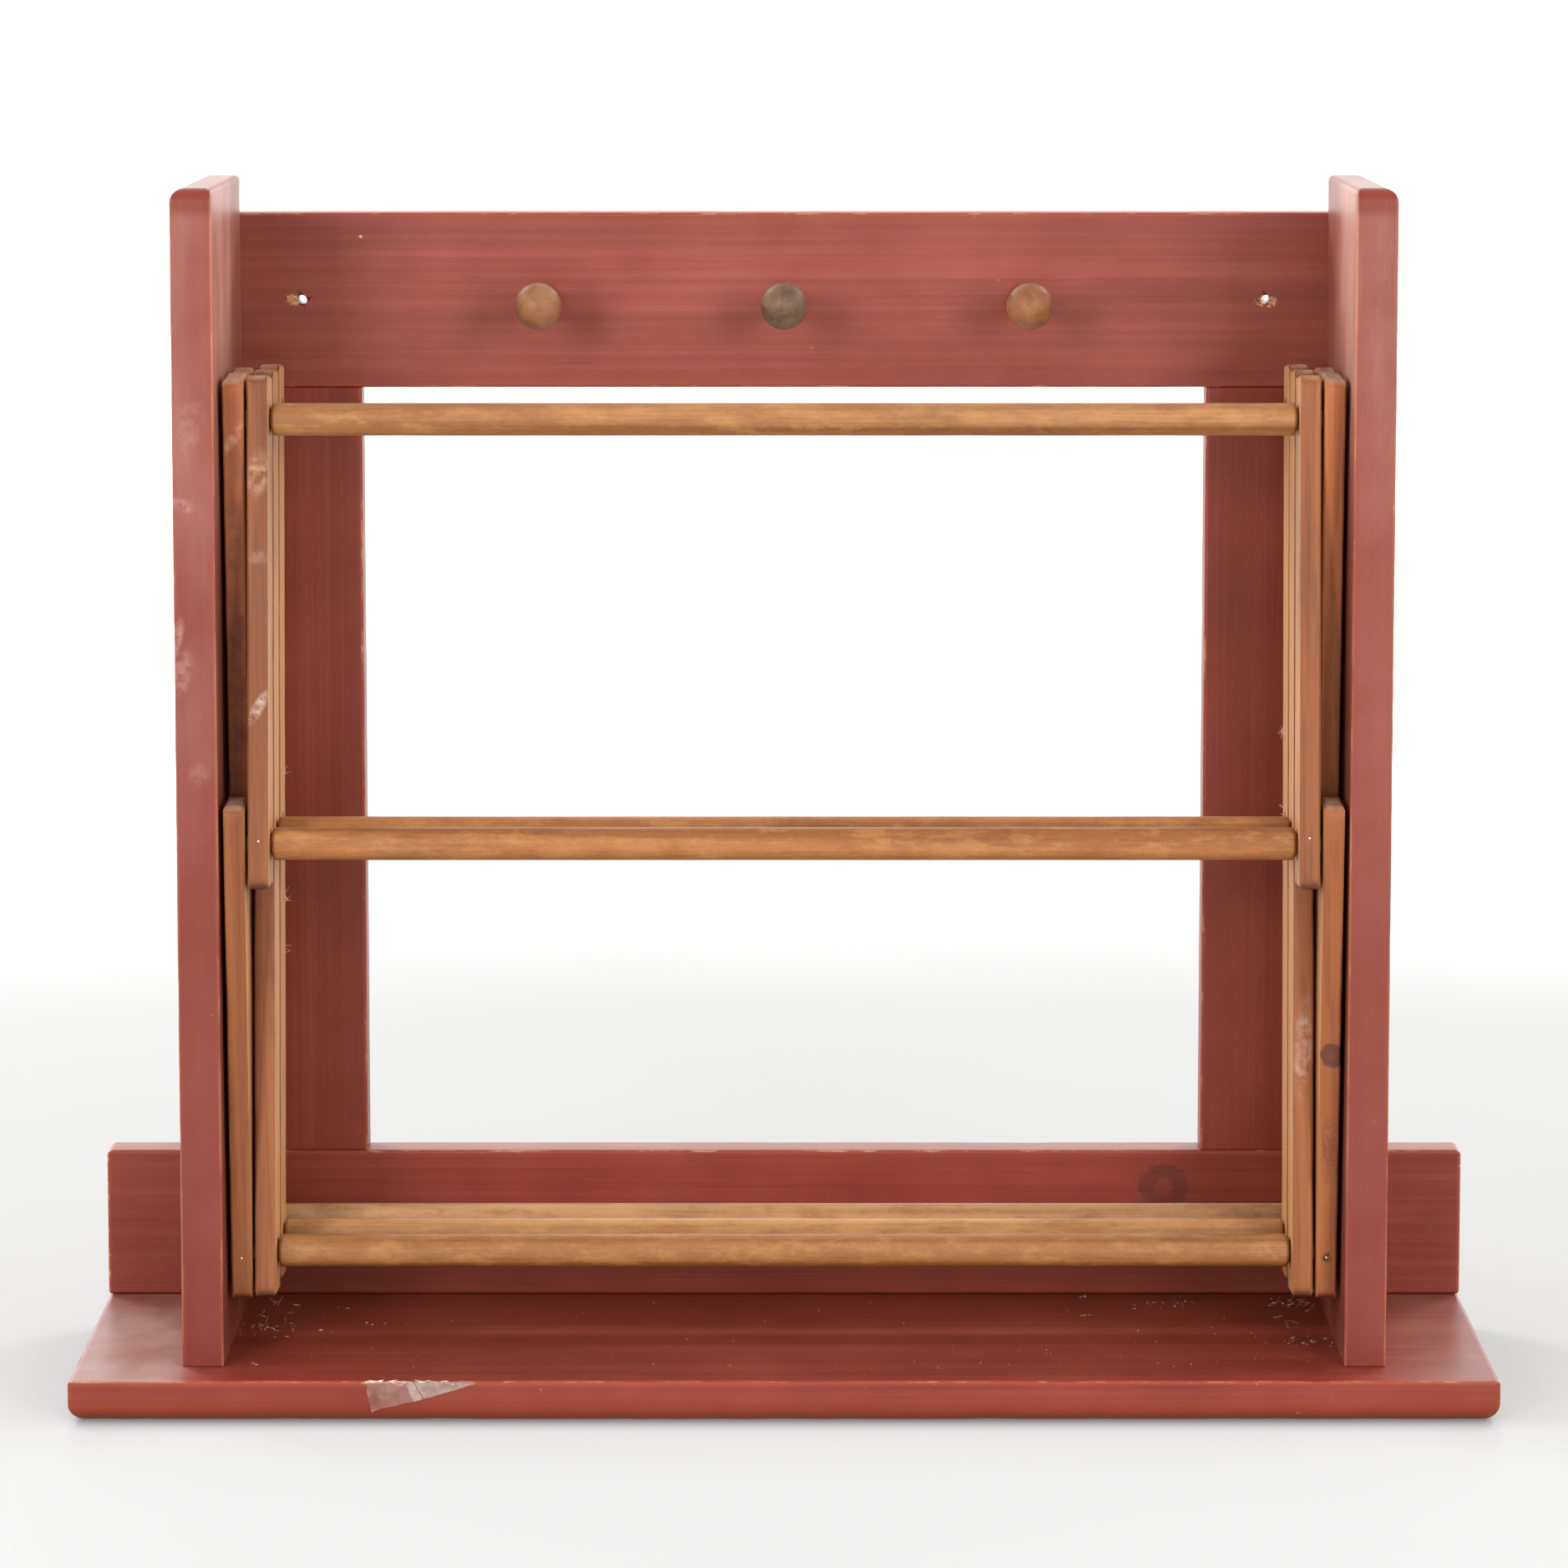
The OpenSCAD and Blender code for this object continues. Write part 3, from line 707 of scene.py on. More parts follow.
def islands(node):
    """Boxes of a CAD node's separate solids, as (lowest corner, highest corner)."""
    shape = bmesh.new()
    shape.from_mesh(frame["nodes"][node].data)
    bmesh.ops.remove_doubles(shape, verts=shape.verts, dist=1e-6)
    left = set(shape.verts)
    boxes = []
    while left:
        stack = [left.pop()]
        low, high = stack[0].co.copy(), stack[0].co.copy()
        while stack:
            vertex = stack.pop()
            low = Vector(map(min, low, vertex.co))
            high = Vector(map(max, high, vertex.co))
            for edge in vertex.link_edges:
                other = edge.other_vert(vertex)
                if other in left:
                    left.remove(other)
                    stack.append(other)
        boxes.append((low, high))
    shape.free()
    return sorted(boxes, key=lambda box: tuple(round(value, 5) for value in box[0]))


# -------- painted boards

ARRIS = 1.5 * MM
SHELF_ROUND = 7 * MM
SHELF_CORNER = 2.6 * MM
TOP_ROUND = 6.5 * MM
INNER_ROUND = 3 * MM
BACK_CORNER = 3 * MM
HEAD_SINK = 0.5 * MM
SCREW_HEAD_RADIUS = 4.4 * MM
NAIL_HEAD_RADIUS = 2.7 * MM
TAPE_THICK = 0.22 * MM
GROOVE_BOTTOM = 0.281
KNOT_PLACE = (0.182, 0.073, 0.071)

# Rubbed patches on the left side board's front edge: x, height, half width and half height in mm,
# turn, strength and how fine its streaks are.
RUBS = (
    (-270.5, 414, 9.5, 3.6, 0.2, 0.28, 190), (-273.5, 353, 3.4, 13, 0.25, 0.24, 170),
    (-271.5, 338, 6.2, 13, 0.2, 0.18, 150), (-264, 292, 6, 6, 0, 0.10, 150),
    (-266, 450, 8, 15, 0.1, 0.10, 120),
)


def head_cutters(node, radius, axis, face):
    """Shallow cutters that open the wood over the fasteners whose heads are at one face."""
    cutters = []
    for low, high in islands(node):
        spans = high - low
        if max((X, Y, Z), key=lambda k: spans[k]) == axis:
            place = list((low + high) / 2)
            place[axis] = face
            cutters.append(rod_cutter(place, axis, radius, 4 * HEAD_SINK))
    return cutters


def board(node, long_axis, radii, low_end, high_end, seed, worn=0.5 * MM, joined=(), cutters=(), planed=0.0,
          **looks):
    """One painted board. joined names its glued sides, such as "z-", whose edges don't wear.

    planed: how far its front is set back, in metres.
    """
    low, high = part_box(node)
    low.y += planed
    mesh = board_mesh(node, high - low, long_axis, radii, low_end, high_end, worn=worn, seed=seed)
    mesh.transform(Matrix.Translation((low + high) / 2))
    wear_low, wear_high = low.copy(), high.copy()
    for side in joined:
        axis = "xyz".index(side[0])
        if side[1] == "-":
            wear_low[axis] -= 1
        else:
            wear_high[axis] += 1
    material = paint_material(f"paint_{node}", wear_low, wear_high, long_axis, seed, **looks)
    made = piece(f"{node}_wood", mesh, material, "frame", "red_paint", node)
    cut(made, cutters)


def make_boards():
    arris = (ARRIS,) * 4
    joint = (ARRIS / 3,) * 4
    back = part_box("peg_rail")[1].y
    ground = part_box("shelf")[0].z
    shelf_end = (SHELF_CORNER, ARRIS, SHELF_ROUND, SHELF_CORNER)
    board("shelf", X, (SHELF_ROUND, ARRIS, ARRIS, ARRIS), shelf_end, shelf_end, seed=1, worn=0.9 * MM,
          planed=TAPE_THICK, wear=0.9, marks=[low_edge_mark(10 * MM, 0.5), dust_and_sheen_mark],
          cutters=head_cutters("frame_screws", SCREW_HEAD_RADIUS, Z, ground))
    back_end = (ARRIS, ARRIS, ARRIS, BACK_CORNER)
    board("shelf_back_board", X, arris, back_end, back_end, seed=2, joined=["z-"], dusty=0.12,
          marks=[knot_mark(KNOT_PLACE, 11.2 * MM, 0.5)],
          cutters=head_cutters("frame_screws", SCREW_HEAD_RADIUS, Y, back))
    side_low, side_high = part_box("side_board_right")
    rubs = [scuff_mark((x * MM, side_low.y, z * MM), (width * MM, tall * MM), turn, strength,
                       (200, 166, 156), scale, 0) for x, z, width, tall, turn, strength, scale in RUBS]
    wear_and_sheen = wear_and_sheen_mark(side_low.y, side_low.x, side_high.x)
    for k, side in enumerate(SIDES):
        top = (TOP_ROUND, INNER_ROUND) if side == "left" else (INNER_ROUND, TOP_ROUND)
        board(f"side_board_{side}", Z, arris, joint, (*top, TOP_ROUND, TOP_ROUND), seed=3 + k,
              worn=0.9 * MM, wear=0.9, streaks=0.45, haze=(0.0, 0.06), dusty=0.35, joined=["z-", "y+"],
              marks=[wear_and_sheen] + (rubs if side == "left" else []), cutters=[groove_cutter(side)])
        board(f"stile_{side}", Z, arris, joint, joint, seed=5 + k, streaks=0.5, joined=["z-", "z+"],
              cutters=head_cutters("frame_nails", NAIL_HEAD_RADIUS, Y, back))
    make_peg_rail(arris, back)


def make_peg_rail(arris, back):
    """The rail with its two wall holes and the paint broken away round them."""
    low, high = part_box("peg_rail")
    hole = frame["record"]["mounts"][0]
    half_pitch = hole["dims"]["spacing_x_mm"] * MM / 2
    radius = hole["dims"]["hole_r_mm"] * MM
    height = hole["pos_m"][2]
    middle = (low.y + high.y) / 2
    holes = [rod_cutter((side * half_pitch, middle, height), Y, radius, 0.1) for side in (-1, 1)]
    chips = [chip_mark((-half_pitch - 3.5 * MM, low.y, height + 0.5 * MM), (4.2 * MM, 3.6 * MM)),
             chip_mark((half_pitch, low.y, height - 0.5 * MM), (5.8 * MM, 3.6 * MM)),
             scuff_mark((-half_pitch + 28 * MM, low.y, height + 30 * MM), (1 * MM, 1 * MM), 0, 1.0)]
    board("peg_rail", X, arris, arris, arris, seed=7, wear=0.8, streaks=1.4, haze=(0.016, 0.016), marks=chips,
          cutters=holes + head_cutters("frame_nails", NAIL_HEAD_RADIUS, Y, back))
    make_splinters(half_pitch, low.y, height, radius)


def groove_cutter(side):
    """The upright groove in a side board's inner face."""
    low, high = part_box(f"side_board_{side}")
    pin_low, pin_high = islands("guide_pins")[SIDES.index(side)]
    depth = 5 * MM
    top = pin_high.z + 3.3 * MM
    width = (pin_high.y - pin_low.y) + 0.6 * MM
    inner = high.x if side == "left" else low.x
    centre = (inner, frame["joints"][0]["pos_m"][Y], (top + GROOVE_BOTTOM) / 2)
    return rod_cutter(centre, X, width / 2, 2 * depth, top - GROOVE_BOTTOM - width)


def sliver(made, base, tip, width):
    """A thin tapered splinter from one point to another, added to a bmesh."""
    base, tip = Vector(base), Vector(tip)
    along = (tip - base).normalized()
    aside = along.cross(Vector((0, 1, 0)))
    if aside.length < 0.1:
        aside = along.cross(Vector((1, 0, 0)))
    aside.normalize()
    up = along.cross(aside)
    rows = []
    for share, scale in ((0.0, 1.0), (0.45, 0.8), (0.85, 0.4), (1.0, 0.1)):
        centre = base.lerp(tip, share) + up * width * 0.3 * math.sin(share * 5)
        rows.append([made.verts.new(centre + aside * width * scale * u + up * width * scale * 0.5 * v)
                     for u, v in ((-1, -1), (1, -1), (0.7, 1), (-0.8, 1))])
    skin(made, rows)


def make_splinters(half_pitch, face, height, radius):
    """Torn wood at the wall holes: a little beside the left one, right across the right one."""
    draw = random.Random(5)
    material = plain_material("torn_wood", linear(150, 98, 54), linear(216, 176, 128), 900, 0.6)
    for side, sign, count, start, end, across in (("left", -1, 6, 140, 220, 0.3),
                                                  ("right", 1, 15, 150, 385, 0.7)):
        made = bmesh.new()
        centre = Vector((sign * half_pitch, face, height))
        for _ in range(count):
            angle = math.radians(draw.uniform(start, end))
            out = Vector((math.cos(angle), 0, math.sin(angle)))
            base = centre + out * radius * draw.uniform(1.0, 2.1) + Vector((0, 0.4 * MM, 0))
            inward = radius * draw.uniform(0.2, 1.0) * across
            stray = Vector((draw.uniform(-1, 1), -draw.uniform(0.2, 1.0), draw.uniform(-1, 1)))
            tip = centre + out * (radius - inward) + stray * MM * 0.6
            sliver(made, base, tip, draw.uniform(0.2, 0.45) * MM)
        loose_piece(f"hole_splinters_{side}", made, material, "frame", "slat_wood")


# -------- rack

SLAT_TONES = (linear(142, 88, 50), linear(124, 71, 39), linear(94, 50, 27))
DOWEL_TONES = (linear(160, 112, 70), linear(140, 93, 54), linear(104, 65, 37))
# Per moving body: its dowel, how much more red, green and blue the dowel's wood is, partly its own
# tone and partly painted light and shade for where the dowel stands, which way its slats lean when
# folded, and for its left and right slat how much lighter or darker the wood is, partly its own tone
# and partly painted light that lifts slats standing in shade, and how stained.
RACK = {
    "rear_outer": ("axle_dowel", (1.32, 1.65, 2.1), 1, (1.1, 0.4), (1.1, 0.4)),
    "rear_inner": ("lower_rear_dowel", (1.40, 1.65, 1.85), -1, (1.1, 0.3), (1.1, 0.3)),
    "front_outer": ("upper_front_dowel", (0.95, 0.97, 1.0), 1, (1.85, 0.4), (1.6, 0.4)),
    "front_inner": ("middle_rear_dowel", (1.15, 1.1, 1.05), -1, (0.95, 0.5), (1.15, 0.3)),
    "upper_half": ("middle_front_dowel", (1.04, 0.93, 0.84), -1, (0.95, 0.4), (1.0, 0.35)),
    "lower_half": ("lower_front_dowel", (0.86, 0.82, 0.78), 1, (1.05, 0.4), (1.35, 0.35)),
}
SLAT_WIDTH = 25 * MM
SLAT_ROUND = 5 * MM
SLAT_ARRIS = 1.3 * MM
SLAT_END_ARRIS = 2.2 * MM
END_TO_PIVOT = 20 * MM
HOLE_RADIUS = 4.05 * MM
BRAD_RADIUS = 0.7 * MM
BRAD_LENGTH = 15 * MM
# How far above the pivot each brad was driven, by the slat it is in.
BRAD_RISE = {"upper_half_left": 2.0 * MM, "upper_half_right": 3.4 * MM}
# How far a brad sank into the wood, by the slat it is in.
BRAD_SUNK = {"lower_half_right": 1.1 * MM}
# How wide the hole round a brad's head is, in brad radii, where it sank and where it didn't.
TORN, CLEAN = 2.2, 1.2
TENON_RADIUS = 4 * MM
# From a dowel's tip to its shoulder.
TENON_LENGTH = 20.6 * MM
AXLE_TENON_LENGTH = 19.6 * MM

# Per slat, its scuffs: place across the edge and up from its middle, half width and half height
# in mm, turn, strength, colour, scale and warp.
SLAT_SCUFFS = {
    "upper_half_left": (
        (0, 72, 6.2, 12.5, 0.2, 0.36, (204, 174, 138), 150, 0),
        (0, -34, 3, 10, 0.5, 0.42, (212, 196, 180), 260, 0.2),
        (0, 34, 6, 4, 0, 0.22, (196, 168, 146), 130, 0), (1, 20, 4, 30, 0, 0.45, (100, 60, 46), 110, 0)),
    "lower_half_right": ((0, -45, 4, 20, 0, 0.5, (70, 40, 30), 700, 0.5),),
    "front_inner_right": ((0, -98, 5, 26, 0.05, 0.30, (206, 186, 170), 120, 0),),
    "front_outer_left": (
        (0, 70, 6, 150, 0, 0.55, (74, 44, 32), 70, 0), (0, 186, 3, 12, 0.6, 0.26, (204, 168, 140), 150, 0)),
}


def toned(tones, shares):
    """Tones with red, green and blue each multiplied by its share."""
    return tuple(tuple(min(1.0, c * share) for c, share in zip(tone, shares)) + (1.0,) for tone in tones)


def slat_marks(slat, reach):
    """Scuffs and knots on a slat's front edge, in its own frame. reach: middle to end pivot."""
    front = -SLAT_WIDTH / 2
    marks = []
    if slat in BRAD_SUNK:
        marks = [knot_mark((1 * MM, front, 0), 5.5 * MM, 0.72, 0.15),
                 scuff_mark((0, front, -reach), (2.8 * MM, 4 * MM), 0, 0.9, (56, 30, 18), 500, 0)]
    for x, z, width, tall, turn, strength, tint, scale, warp in SLAT_SCUFFS.get(slat, ()):
        size = (width * MM, tall * MM)
        marks.append(scuff_mark((x * MM, front, z * MM), size, turn, strength, tint, scale, warp))
    return marks


def fold_angle():
    """Lean of the folded slats, from two pivots of one slat."""
    places = {joint["name"]: joint["pos_m"] for joint in frame["joints"]}
    low, middle = places["rack_open"], places["rear_cross"]
    return math.atan2(low[Y] - middle[Y], middle[Z] - low[Z])


def slat_length(rise, angle):
    """Length of a slat with rounded corners from the height of its leaning outline."""
    straight = rise - 2 * SLAT_ROUND
    return (straight - (SLAT_WIDTH - 2 * SLAT_ROUND) * math.sin(angle)) / math.cos(angle) + 2 * SLAT_ROUND


def make_slats():
    """Slats made upright and leant into place, with holes at their pivots and brads in the short ones."""
    angle = fold_angle()
    corner = (SLAT_END_ARRIS, SLAT_END_ARRIS, SLAT_ROUND, SLAT_ROUND)
    brad_places = {}
    for number, (body, (_, _, lean, *looks)) in enumerate(RACK.items()):
        for k, (side, (tone, dirt)) in enumerate(zip(SIDES, looks)):
            slat, node = f"{body}_{side}", f"{body}_slat_{side}"
            low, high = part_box(node)
            length = slat_length(high.z - low.z, angle)
            reach = length / 2 - END_TO_PIVOT
            seed = 11 + 2 * number + k
            mesh = board_mesh(node, (high.x - low.x, SLAT_WIDTH, length), Z, [SLAT_ARRIS] * 4, corner, corner,
                              pitch=3.5 * MM, arc_steps=4, worn=0.5 * MM, seed=seed)
            # The slat's brightness factor is partly painted light, lifting slats that stand in shade.
            material = wood_material(f"wood_{node}", Z, seed, toned(SLAT_TONES, (tone,) * 3), dirt=dirt,
                                     side_sheen=0.8, marks=slat_marks(slat, reach))
            made = piece(f"{node}_wood", mesh, material, body, "slat_wood", node)
            turn = Matrix.Translation((low + high) / 2) @ Matrix.Rotation(lean * angle, 4, "X")
            made.matrix_world = turn
            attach(made, body)
            half = "half" in body
            cutters = [rod_cutter((0, 0, step * reach), X, HOLE_RADIUS, 30 * MM)
                       for step in ((-1, 1) if half else (-1, 0, 1))]
            if half:
                driven, sunk = BRAD_RISE.get(slat, 0.0) - reach, BRAD_SUNK.get(slat, 0.0)
                radius = BRAD_RADIUS * (TORN if sunk else CLEAN)
                cutters.append(rod_cutter((0, -SLAT_WIDTH / 2, driven), Y, radius, 1.4 * MM + 2 * sunk))
                brad_places.setdefault(body, []).append((turn, driven, sunk))
            for cutter in cutters:
                cutter.matrix_world = turn
            cut(made, cutters)
    make_brads(brad_places)


def make_brads(places):
    """Domed brads in the slats' front edges, as long as the CAD ones."""
    bright = steel_material("brad_steel", linear(232, 228, 220), 0.3)
    shank, point = BRAD_RADIUS * 0.8, 0.05 * MM
    # Distance from the head's outside, and radius, from the point up.
    outline = ((BRAD_LENGTH, point), (BRAD_LENGTH - 0.8 * MM, shank), (1.0 * MM, shank),
               (0.9 * MM, BRAD_RADIUS), (0.3 * MM, BRAD_RADIUS), (0.1 * MM, BRAD_RADIUS * 0.75), (0.0, point))
    for body, spots in places.items():
        made = bmesh.new()
        for turn, driven, sunk in spots:
            front = -SLAT_WIDTH / 2 + 0.1 * MM + sunk
            profile = [(front + w, radius) for w, radius in outline]
            mesh = lathe_mesh("brad", profile, Y, (0, 0, driven), segments=20)
            mesh.transform(turn)
            made.from_mesh(mesh)
        loose = loose_piece(f"{body}_brad_heads", made, bright, body, "steel")
        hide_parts(f"{body}_brads")


def make_dowels():
    for number, (body, (node, tint, *_)) in enumerate(RACK.items()):
        low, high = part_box(node)
        shoulder = high.x - (AXLE_TENON_LENGTH if node == "axle_dowel" else TENON_LENGTH)
        profile = dowel_profile(high.x, shoulder, (high.z - low.z) / 2)
        mesh = lathe_mesh(node, profile, X, (low + high) / 2, shake=0.012, seed=31 + number)
        # The dowel's tint is partly painted light and shade for where it stands.
        material = wood_material(f"wood_{node}", X, 41 + number, toned(DOWEL_TONES, tint), rings=60, dirt=0.4,
                                 flecks=0.15, lines=0.05, blotches=0.5)
        piece(f"{node}_wood", mesh, material, body, "dowel_wood", node)


def dowel_profile(tip, shoulder, radius):
    """A dowel's outline from right to left: tenon, rounded shoulder, straight middle, and back."""
    ease = 2.2 * MM
    chamfer = 0.4 * MM
    end = [(tip, TENON_RADIUS - chamfer), (tip - chamfer, TENON_RADIUS), (shoulder, TENON_RADIUS)]
    for step in range(7):
        angle = math.radians(90 * step / 6)
        end.append((shoulder - ease * (1 - math.cos(angle)),
                    TENON_RADIUS + (radius - TENON_RADIUS) * math.sin(angle)))
    middle = [(w, radius) for w in spread(shoulder - ease, ease - shoulder, 6 * MM)]
    return end + middle + [(-w, r) for w, r in reversed(end)]


def make_pins():
    """Pins, screws and nails keep their CAD shape and get wood or steel."""
    end_grain = wood_material("wood_pins", X, 61, DOWEL_TONES, rings=60)
    dull = steel_material("fastener_steel", linear(140, 136, 130), 0.4)
    for node, material in (("middle_pins", end_grain), ("guide_pins", end_grain), ("upper_pins", end_grain),
                           ("frame_screws", dull), ("frame_nails", dull)):
        shown = frame["nodes"][node]
        shown.data.materials.clear()
        shown.data.materials.append(material)


# -------- pegs

PEG_TONES = {
    "left": (linear(132, 92, 60), linear(124, 82, 52), linear(104, 66, 42)),
    "middle": (linear(112, 84, 60), linear(98, 74, 56), linear(70, 54, 44)),
    "right": (linear(134, 90, 56), linear(124, 78, 46), linear(102, 60, 36)),
}


def make_pegs():
    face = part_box("peg_rail")[0].y
    for number, (name, tones) in enumerate(PEG_TONES.items()):
        node = f"peg_{name}"
        low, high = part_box(node)
        centre = ((low.x + high.x) / 2, face, (low.z + high.z) / 2)
        profile = peg_profile(face - low.y, (high.x - low.x) / 2, high.y - face)
        mesh = lathe_mesh(node, profile, Y, centre, segments=48, shake=0.02, seed=71 + number)
        material = wood_material(f"wood_{node}", Y, 81 + number, tones, rings=70, dirt=0.3, lines=0.2)
        piece(f"{node}_wood", mesh, material, "frame", "peg_wood", node)


def peg_profile(reach, head, tenon):
    """Outline of a turned peg along Y: tenon behind the rail's face, collar, neck, domed head."""
    neck = 0.48 * head
    collar = 8 * MM
    collar_front = 2.4 * MM
    rim = 0.80 * reach
    dome = rim + 0.6 * MM
    outline = [(tenon, 6 * MM), (0.5 * MM, 6.3 * MM), (0, collar - 1 * MM), (-0.8 * MM, collar),
               (-collar_front, collar)]
    steps = 24
    for step in range(1, steps + 1):
        share = step / steps
        waist = neck + (collar - neck) * max(0.0, 1 - share * 3.2) ** 2
        flare = (head - neck) * max(0.0, (share - 0.72) / 0.28) ** 2.2
        outline.append((-collar_front - share * (rim - collar_front), waist + flare))
    outline.append((-dome, head))
    for step in range(1, 13):
        angle = math.radians(90 * step / 12)
        outline.append((-dome - (reach - dome) * math.sin(angle), max(0.4 * MM, head * math.cos(angle))))
    return outline


# -------- dust, fibres and tape

# Dust on the shelf: where, how far it spreads, how many flecks, and their largest length in mm.
DUST = (
    ((-0.242, 0.002), (0.013, 0.014), 22, 2.6), ((-0.243, -0.060), (0.003, 0.003), 2, 4.0),
    ((-0.216, 0.002), (0.002, 0.001), 1, 4.0), ((-0.192, 0.015), (0.005, 0.002), 3, 4.0),
    ((-0.209, 0.047), (0.003, 0.002), 2, 3.0), ((0.143, 0.068), (0.003, 0.002), 3, 3.4),
    ((0.142, 0.030), (0.003, 0.002), 3, 3.4), ((0.180, 0.052), (0.015, 0.008), 18, 3.0),
    ((0.243, -0.016), (0.012, 0.012), 18, 3.4), ((0.240, 0.058), (0.010, 0.008), 14, 2.4),
    ((0.000, 0.000), (0.250, 0.070), 70, 1.1), ((0.150, -0.030), (0.100, 0.040), 30, 1.3),
)
# Tufts torn from the inner faces of the rearmost inner slats: (side, height, fibres).
TUFTS = ((1, 0.300, 9), (1, 0.262, 4), (-1, 0.223, 9), (-1, 0.282, 5), (-1, 0.198, 3))
# The tape's film, and the two places where it lies double: for each outline how far it stands off
# the wood and its points, from the shelf's middle and down from its top. All in mm.
TAPE = {
    "tape_scrap": (0.12, ((-188.8, 0.2), (-188.0, 7.5), (-186.4, 14.3), (-180.5, 12.2), (-167.3, 9.4),
                          (-152.0, 5.2), (-139.0, 1.2), (-139.4, 0.2))),
    "tape_strip": (0.22, ((-171.0, 0.5), (-168.8, 6.2), (-167.3, 9.6), (-163.4, 8.2), (-165.8, 3.6),
                          (-167.8, 0.4))),
    "tape_fold": (0.20, ((-167.0, 0.6), (-165.0, 4.2), (-162.6, 8.0), (-152.0, 5.0), (-139.6, 1.2),
                         (-152.0, 0.4))),
}


def make_dust():
    draw = random.Random(11)
    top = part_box("shelf")[1].z
    made = bmesh.new()
    for (x, y), (spread_x, spread_y), count, largest in DUST:
        for _ in range(count):
            spot = Vector((x + draw.uniform(-1, 1) * spread_x, y + draw.uniform(-1, 1) * spread_y, top))
            flake(made, draw, spot, draw.uniform(0.3, 1.0) * largest * MM)
    material = plain_material("dust", linear(150, 128, 120), linear(214, 204, 196), 700, 0.8)
    loose_piece("shelf_dust", made, material, "frame", "red_paint")


def flake(made, draw, spot, length):
    """A flat crumb of dust lying on a surface, added to a bmesh."""
    turn = draw.gauss(0, 0.5)
    width = length * draw.uniform(0.2, 0.45)
    thick = draw.uniform(0.10, 0.22) * MM
    corners = 7
    ring = []
    for k in range(corners):
        angle = 2 * math.pi * k / corners
        u = length / 2 * math.cos(angle) * draw.uniform(0.6, 1.0)
        v = width / 2 * math.sin(angle) * draw.uniform(0.6, 1.0)
        ring.append(made.verts.new(spot + Vector((u * math.cos(turn) - v * math.sin(turn),
                                                  u * math.sin(turn) + v * math.cos(turn), thick * 0.3))))
    top = made.verts.new(spot + Vector((0, 0, thick)))
    bottom = made.verts.new(spot - Vector((0, 0, 0.02 * MM)))
    for here, after in zip(ring, ring[1:] + ring[:1]):
        made.faces.new((here, after, top))
        made.faces.new((after, here, bottom))


def fibre(made, draw, start, direction, length, radius, curl):
    """A thin curled fibre, added to a bmesh."""
    heading = Vector(direction).normalized()
    place = Vector(start)
    bend = Vector((draw.uniform(-1, 1), draw.uniform(-1, 1), draw.uniform(-1, 1))) * curl
    steps = 7
    rows = []
    for step in range(steps + 1):
        aside = heading.cross(Vector((0.31, 0.74, 0.6))).normalized()
        up = heading.cross(aside)
        size = radius * (1 - 0.7 * step / steps)
        rows.append([made.verts.new(place + (aside * math.cos(a) + up * math.sin(a)) * size)
                     for a in (0, 2.1, 4.2)])
        place = place + heading * length / steps
        heading = (heading + bend / steps).normalized()
    skin(made, rows)


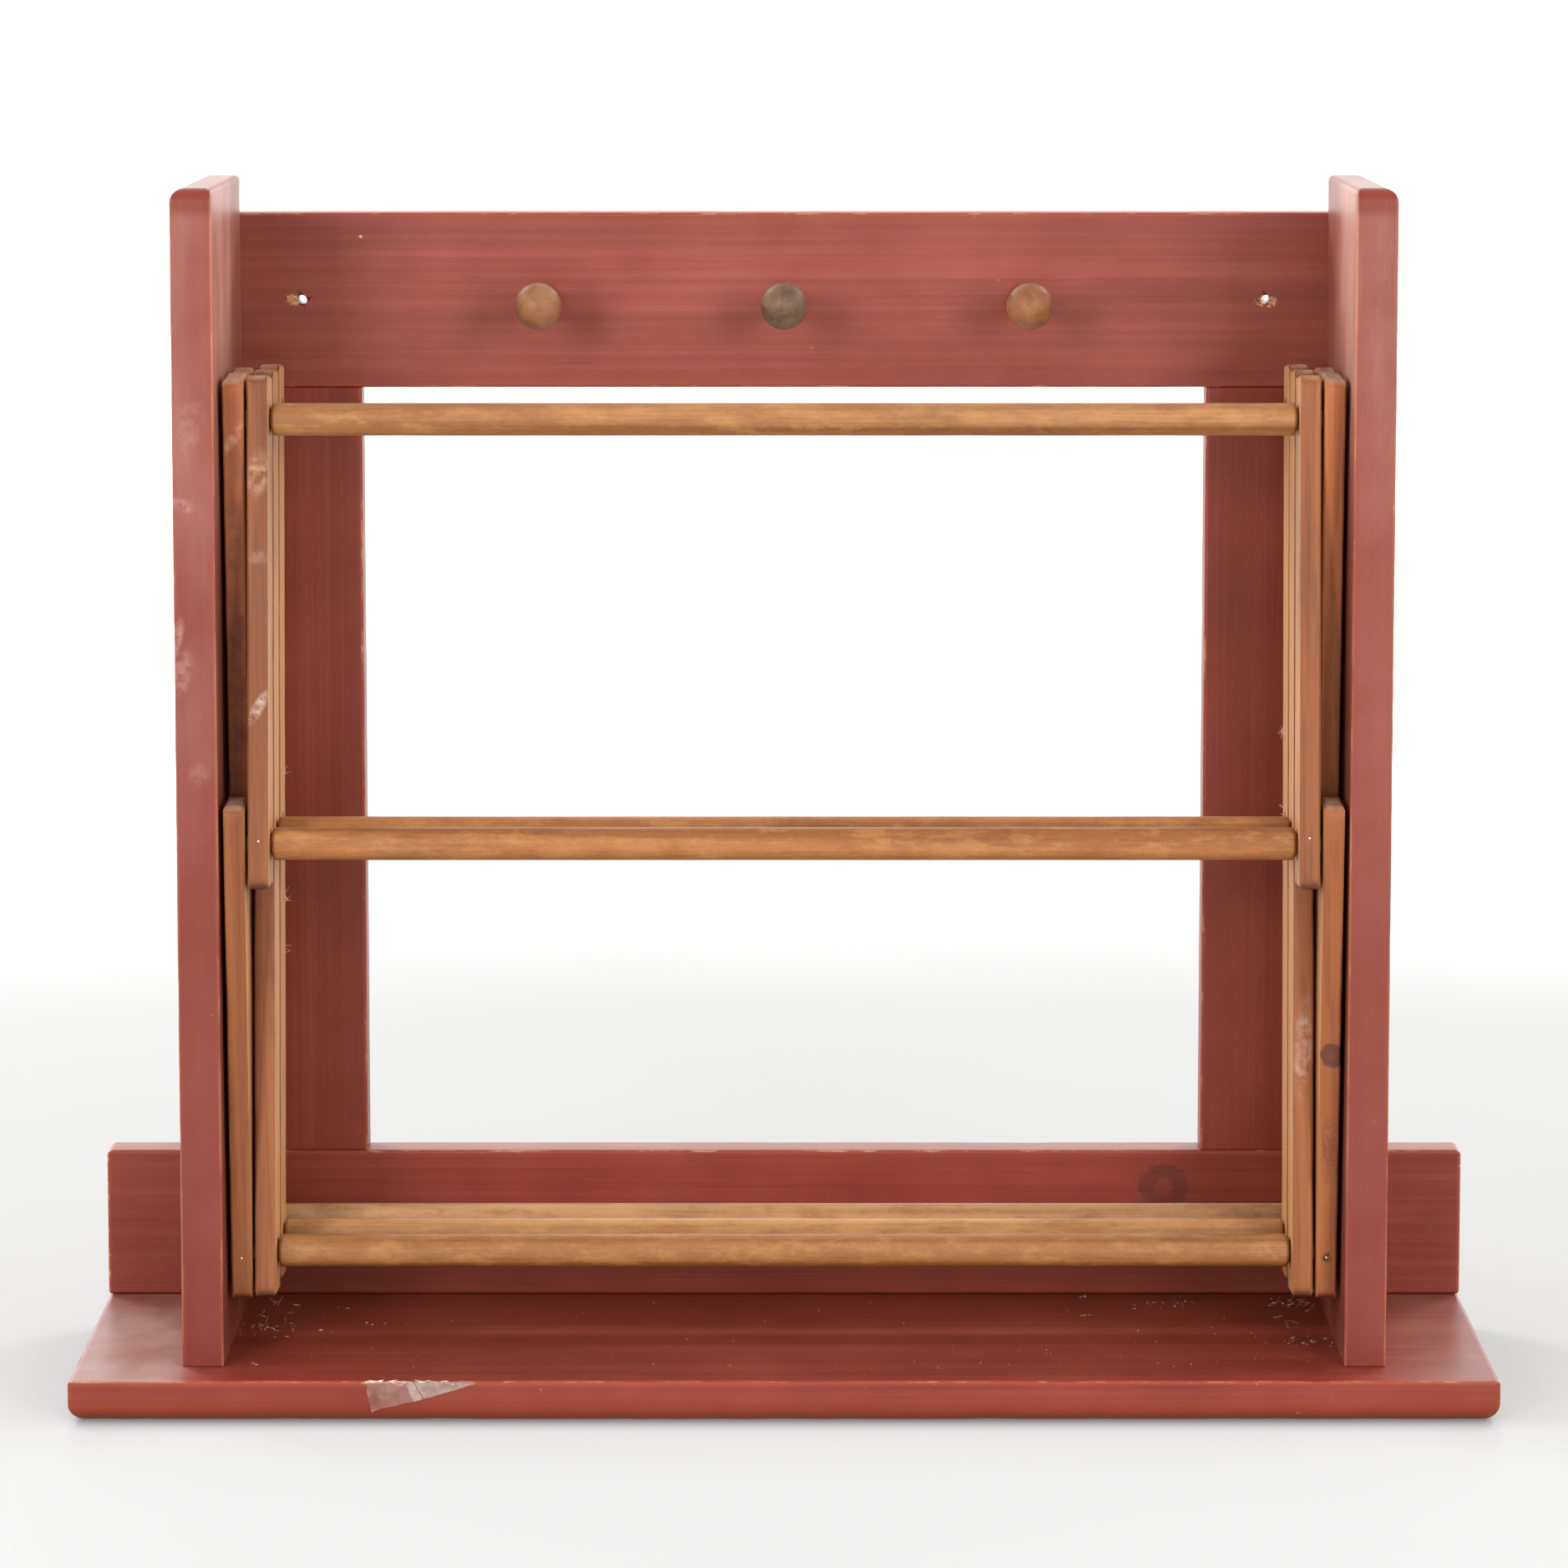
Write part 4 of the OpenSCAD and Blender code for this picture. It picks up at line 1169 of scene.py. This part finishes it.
def make_tufts():
    """Fibres torn from the slats, and fluff on the shelf below them."""
    draw = random.Random(23)
    low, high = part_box("rear_inner_slat_right")
    material = plain_material("fibres", linear(190, 160, 130), linear(232, 214, 194), 400, 0.7)
    made = bmesh.new()
    for side, height, count in TUFTS:
        rise = (height - low.z) / (high.z - low.z)
        depth = low.y + SLAT_WIDTH / 2 + (high.y - low.y - SLAT_WIDTH) * rise
        for _ in range(count):
            start = (side * (low.x + 0.1 * MM), depth + draw.uniform(-2, 2) * MM,
                     height + draw.uniform(-2, 2) * MM)
            direction = (-side, draw.uniform(-0.6, 0.3), draw.uniform(-0.9, 0.9))
            fibre(made, draw, start, direction, draw.uniform(2.0, 5.0) * MM, 0.13 * MM, 2.5)
    loose_piece("slat_tufts", made, material, "rear_inner", "slat_wood")
    made = bmesh.new()
    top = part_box("shelf")[1].z
    for side in (-1, 1):
        for _ in range(16):
            start = (side * draw.uniform(0.228, 0.253), draw.uniform(0.0, 0.062), top + 0.15 * MM)
            direction = (draw.uniform(-1, 1), draw.uniform(-0.7, 0.7), draw.uniform(0.02, 0.25))
            fibre(made, draw, start, direction, draw.uniform(2, 6) * MM, 0.10 * MM, 0.8)
    loose_piece("shelf_fluff", made, material, "frame", "slat_wood")


def make_tape():
    """A torn scrap of clear tape on the shelf's front, folded double at its right."""
    front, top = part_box("shelf")[0].y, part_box("shelf")[1].z
    film = tape_material("tape_film", 0.22)
    double = tape_material("tape_double", 0.48)
    for name, (lift, outline) in TAPE.items():
        made = bmesh.new()
        points = roughen(outline, random.Random(3), 0.18)
        skin(made, [[made.verts.new((x * MM, y, top - z * MM)) for x, z in points]
                    for y in (front + TAPE_THICK - lift * MM, front + 2.5 * TAPE_THICK)])
        loose = loose_piece(name, made, film if name == "tape_scrap" else double, "frame", "red_paint")
        for polygon in loose.data.polygons:
            polygon.use_smooth = False
    make_frayed_edge(front, top)


def make_frayed_edge(front, top):
    """Paper and paint fibres torn up along the shelf's edge where the tape is."""
    draw = random.Random(9)
    tape_left, tape_length = -189, 36
    made = bmesh.new()
    for _ in range(46):
        x = tape_left + tape_length * draw.random() ** 1.1
        fibre(made, draw, (x * MM, front + 2 * TAPE_THICK, top - draw.uniform(0.0, 0.6) * MM),
              (draw.choice((-1, 1)), draw.uniform(-0.25, 0.0), draw.uniform(-0.3, 0.3)),
              draw.uniform(2, 6) * MM, 0.22 * MM, 0.3)
    for vertex in made.verts:
        vertex.co.y = max(vertex.co.y, front)
    frayed = plain_material("frayed_edge", linear(196, 150, 116), linear(240, 220, 196), 500, 0.6)
    loose_piece("tape_frayed_edge", made, frayed, "frame", "red_paint")


def roughen(outline, draw, size):
    """More points along an outline, each moved a little at random."""
    pitch = 1.6
    points = []
    for (x0, z0), (x1, z1) in zip(outline, outline[1:] + outline[:1]):
        count = max(1, round(math.hypot(x1 - x0, z1 - z0) / pitch))
        for j in range(count):
            share = j / count
            points.append((x0 + (x1 - x0) * share + draw.uniform(-size, size),
                           max(0.1, z0 + (z1 - z0) * share + draw.uniform(-size, size))))
    return points


# -------- build

make_camera()
make_light()
make_floor()
make_boards()
make_slats()
make_dowels()
make_pins()
make_pegs()
make_dust()
make_tufts()
make_tape()
